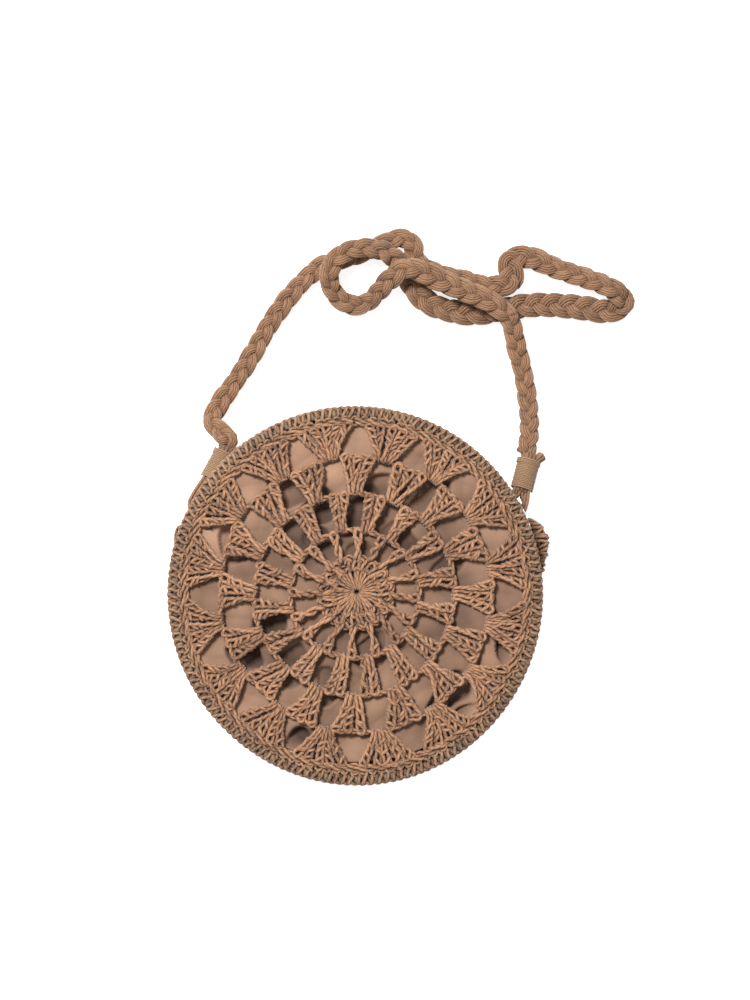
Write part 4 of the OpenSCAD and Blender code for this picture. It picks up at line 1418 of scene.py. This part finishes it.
def tab_cords(side):
    spec = TABS[side]
    rng = random.Random(31)
    strands = []
    for layer, (slack, nose) in enumerate(spec["layers"]):
        for j in range(TAB_CORDS - layer):
            share = (j / (TAB_CORDS - 1 - layer) - 0.5) * (1 + 0.25 * layer)
            strands.append((tab_line(spec, share, slack, nose, rng), spec["cord_r"], False))
    return strands


print("cords of the tabs:", [len(tab_cords(side)) for side in TABS])

# %% [markdown]
# The flap on the right isn't a strip of straight cords. Its stitches run across it, from the
# front edge of the bag down over its belly to the back, and each leans a little another way.

# %% The slack flap, and both tabs
# Along the flap: the turn from the tab, its outermost radius there, and its width
FLAP_STITCHES = 13
FLAP_TURNS = (-3.6, 9.4)
FAR_AT, FAR_R = (-8, 0.7, 4.8, 9), (97.2, 101, 99.0, 95.6)
WIDE_AT, WIDTHS = (-8, 0, 4, 13), (7, 8, 11, 17)


def flap_stitches():
    """Stitches that cross the slack flap on the right, from its front edge round to its back."""
    rng = random.Random(12)
    first, last = FLAP_TURNS
    strands = []
    for k in range(FLAP_STITCHES):
        turn = first + (last - first) * k / (FLAP_STITCHES - 1) + rng.uniform(-0.3, 0.3)
        far = np.interp(turn, FAR_AT, FAR_R)
        half = np.interp(turn, WIDE_AT, WIDTHS) / 2
        near, lean = band_high[0] + 2.0, rng.choice((-2.0, 2.6, 3.2))
        points = [
            (-1, near - 1, half + 2.2), (-0.3, far - 2.4, half + 1.8), (0.2, far + 0.2, half),
            (0.6, far + 0.4, -0.5 * half), (1, near, -half - 1),
        ]
        line = []
        for share, r, z in points:
            a = math.radians(TABS["right"]["clock"] + turn + lean * share / 2)
            line.append((r * math.sin(a), r * math.cos(a), MID_Z + z))
        strands.append((smooth_line(line, 5), 0.9, False))
    return strands


for side in TABS:
    cords = tab_cords(side) + (flap_stitches() if side == "right" else [])
    piece = strand_mesh("tab_cords_" + side, cords, sides=8)
    # The tabs take the edge's darker cord, painted shade included
    finish_crochet(piece, "ring_tab_" + side, cotton=shaded_rim_cotton)

# %% [markdown]
# ## Floor and light
#
# The photograph's ground is pure white, with hardly a shadow. The floor glows a little, so that
# it is white but still takes the soft shadow of the bag. Only the camera sees that glow.

# %% Floor
FLOOR_SIZE = 6
# The floor lies this far under the bag, so that the two don't flicker
FLOOR_DROP = 0.3
FLOOR_GLOW = 0.78
bpy.ops.mesh.primitive_plane_add(size=FLOOR_SIZE, location=(0, 0, -FLOOR_DROP * MM))
floor = bpy.context.object
floor.name = "floor"
paper, tree, shader = new_material("white paper sweep", Base_Color=linear("#f4f4f4"), Roughness=0.9)
rays = add_node(tree, "ShaderNodeLightPath").outputs
rays = dict(i0=rays["Is Camera Ray"], i1=rays["Is Glossy Ray"])
seen = add_node(tree, MATH, {"operation": "MAXIMUM"}, **rays)
glow = add_node(tree, "ShaderNodeEmission", Strength=FLOOR_GLOW)
both = add_node(tree, "ShaderNodeAddShader", i0=shader, i1=glow)
mixed = add_node(tree, "ShaderNodeMixShader", Fac=seen, i1=shader, i2=both)
feed(tree, tree.nodes["Material Output"], dict(Surface=mixed))
floor.data.materials.append(paper)
print("floor", FLOOR_SIZE, "m wide")

# %% [markdown]
# One wide lamp from the upper left models the stitches. The rest is even light from all round,
# which the camera sees as plain white.

# %% Light and background
SKY_LIGHT = 0.36
LAMP_AT = (-0.42, 0.62, 1.35)
LAMP_AIM = (0.0, 0.03, 0.02)
world = bpy.data.worlds.new("studio")
bpy.context.scene.world = world
world.use_nodes = True
tree = world.node_tree
seen = add_node(tree, "ShaderNodeLightPath").outputs["Is Camera Ray"]
parts = dict(i0=seen, i1=1 - SKY_LIGHT, i2=SKY_LIGHT)
strength = add_node(tree, MATH, {"operation": "MULTIPLY_ADD"}, **parts)
feed(tree, tree.nodes["Background"], dict(Color=(1, 1, 1, 1), Strength=strength))

bpy.ops.object.light_add(type="AREA", location=LAMP_AT)
key = bpy.context.object
key.data.size = 0.35
key.data.energy = 27
key.rotation_euler = (Vector(LAMP_AIM) - Vector(LAMP_AT)).to_track_quat("-Z", "Y").to_euler()
bpy.context.scene.view_settings.view_transform = "Standard"
print("lamp of", key.data.energy, "W")
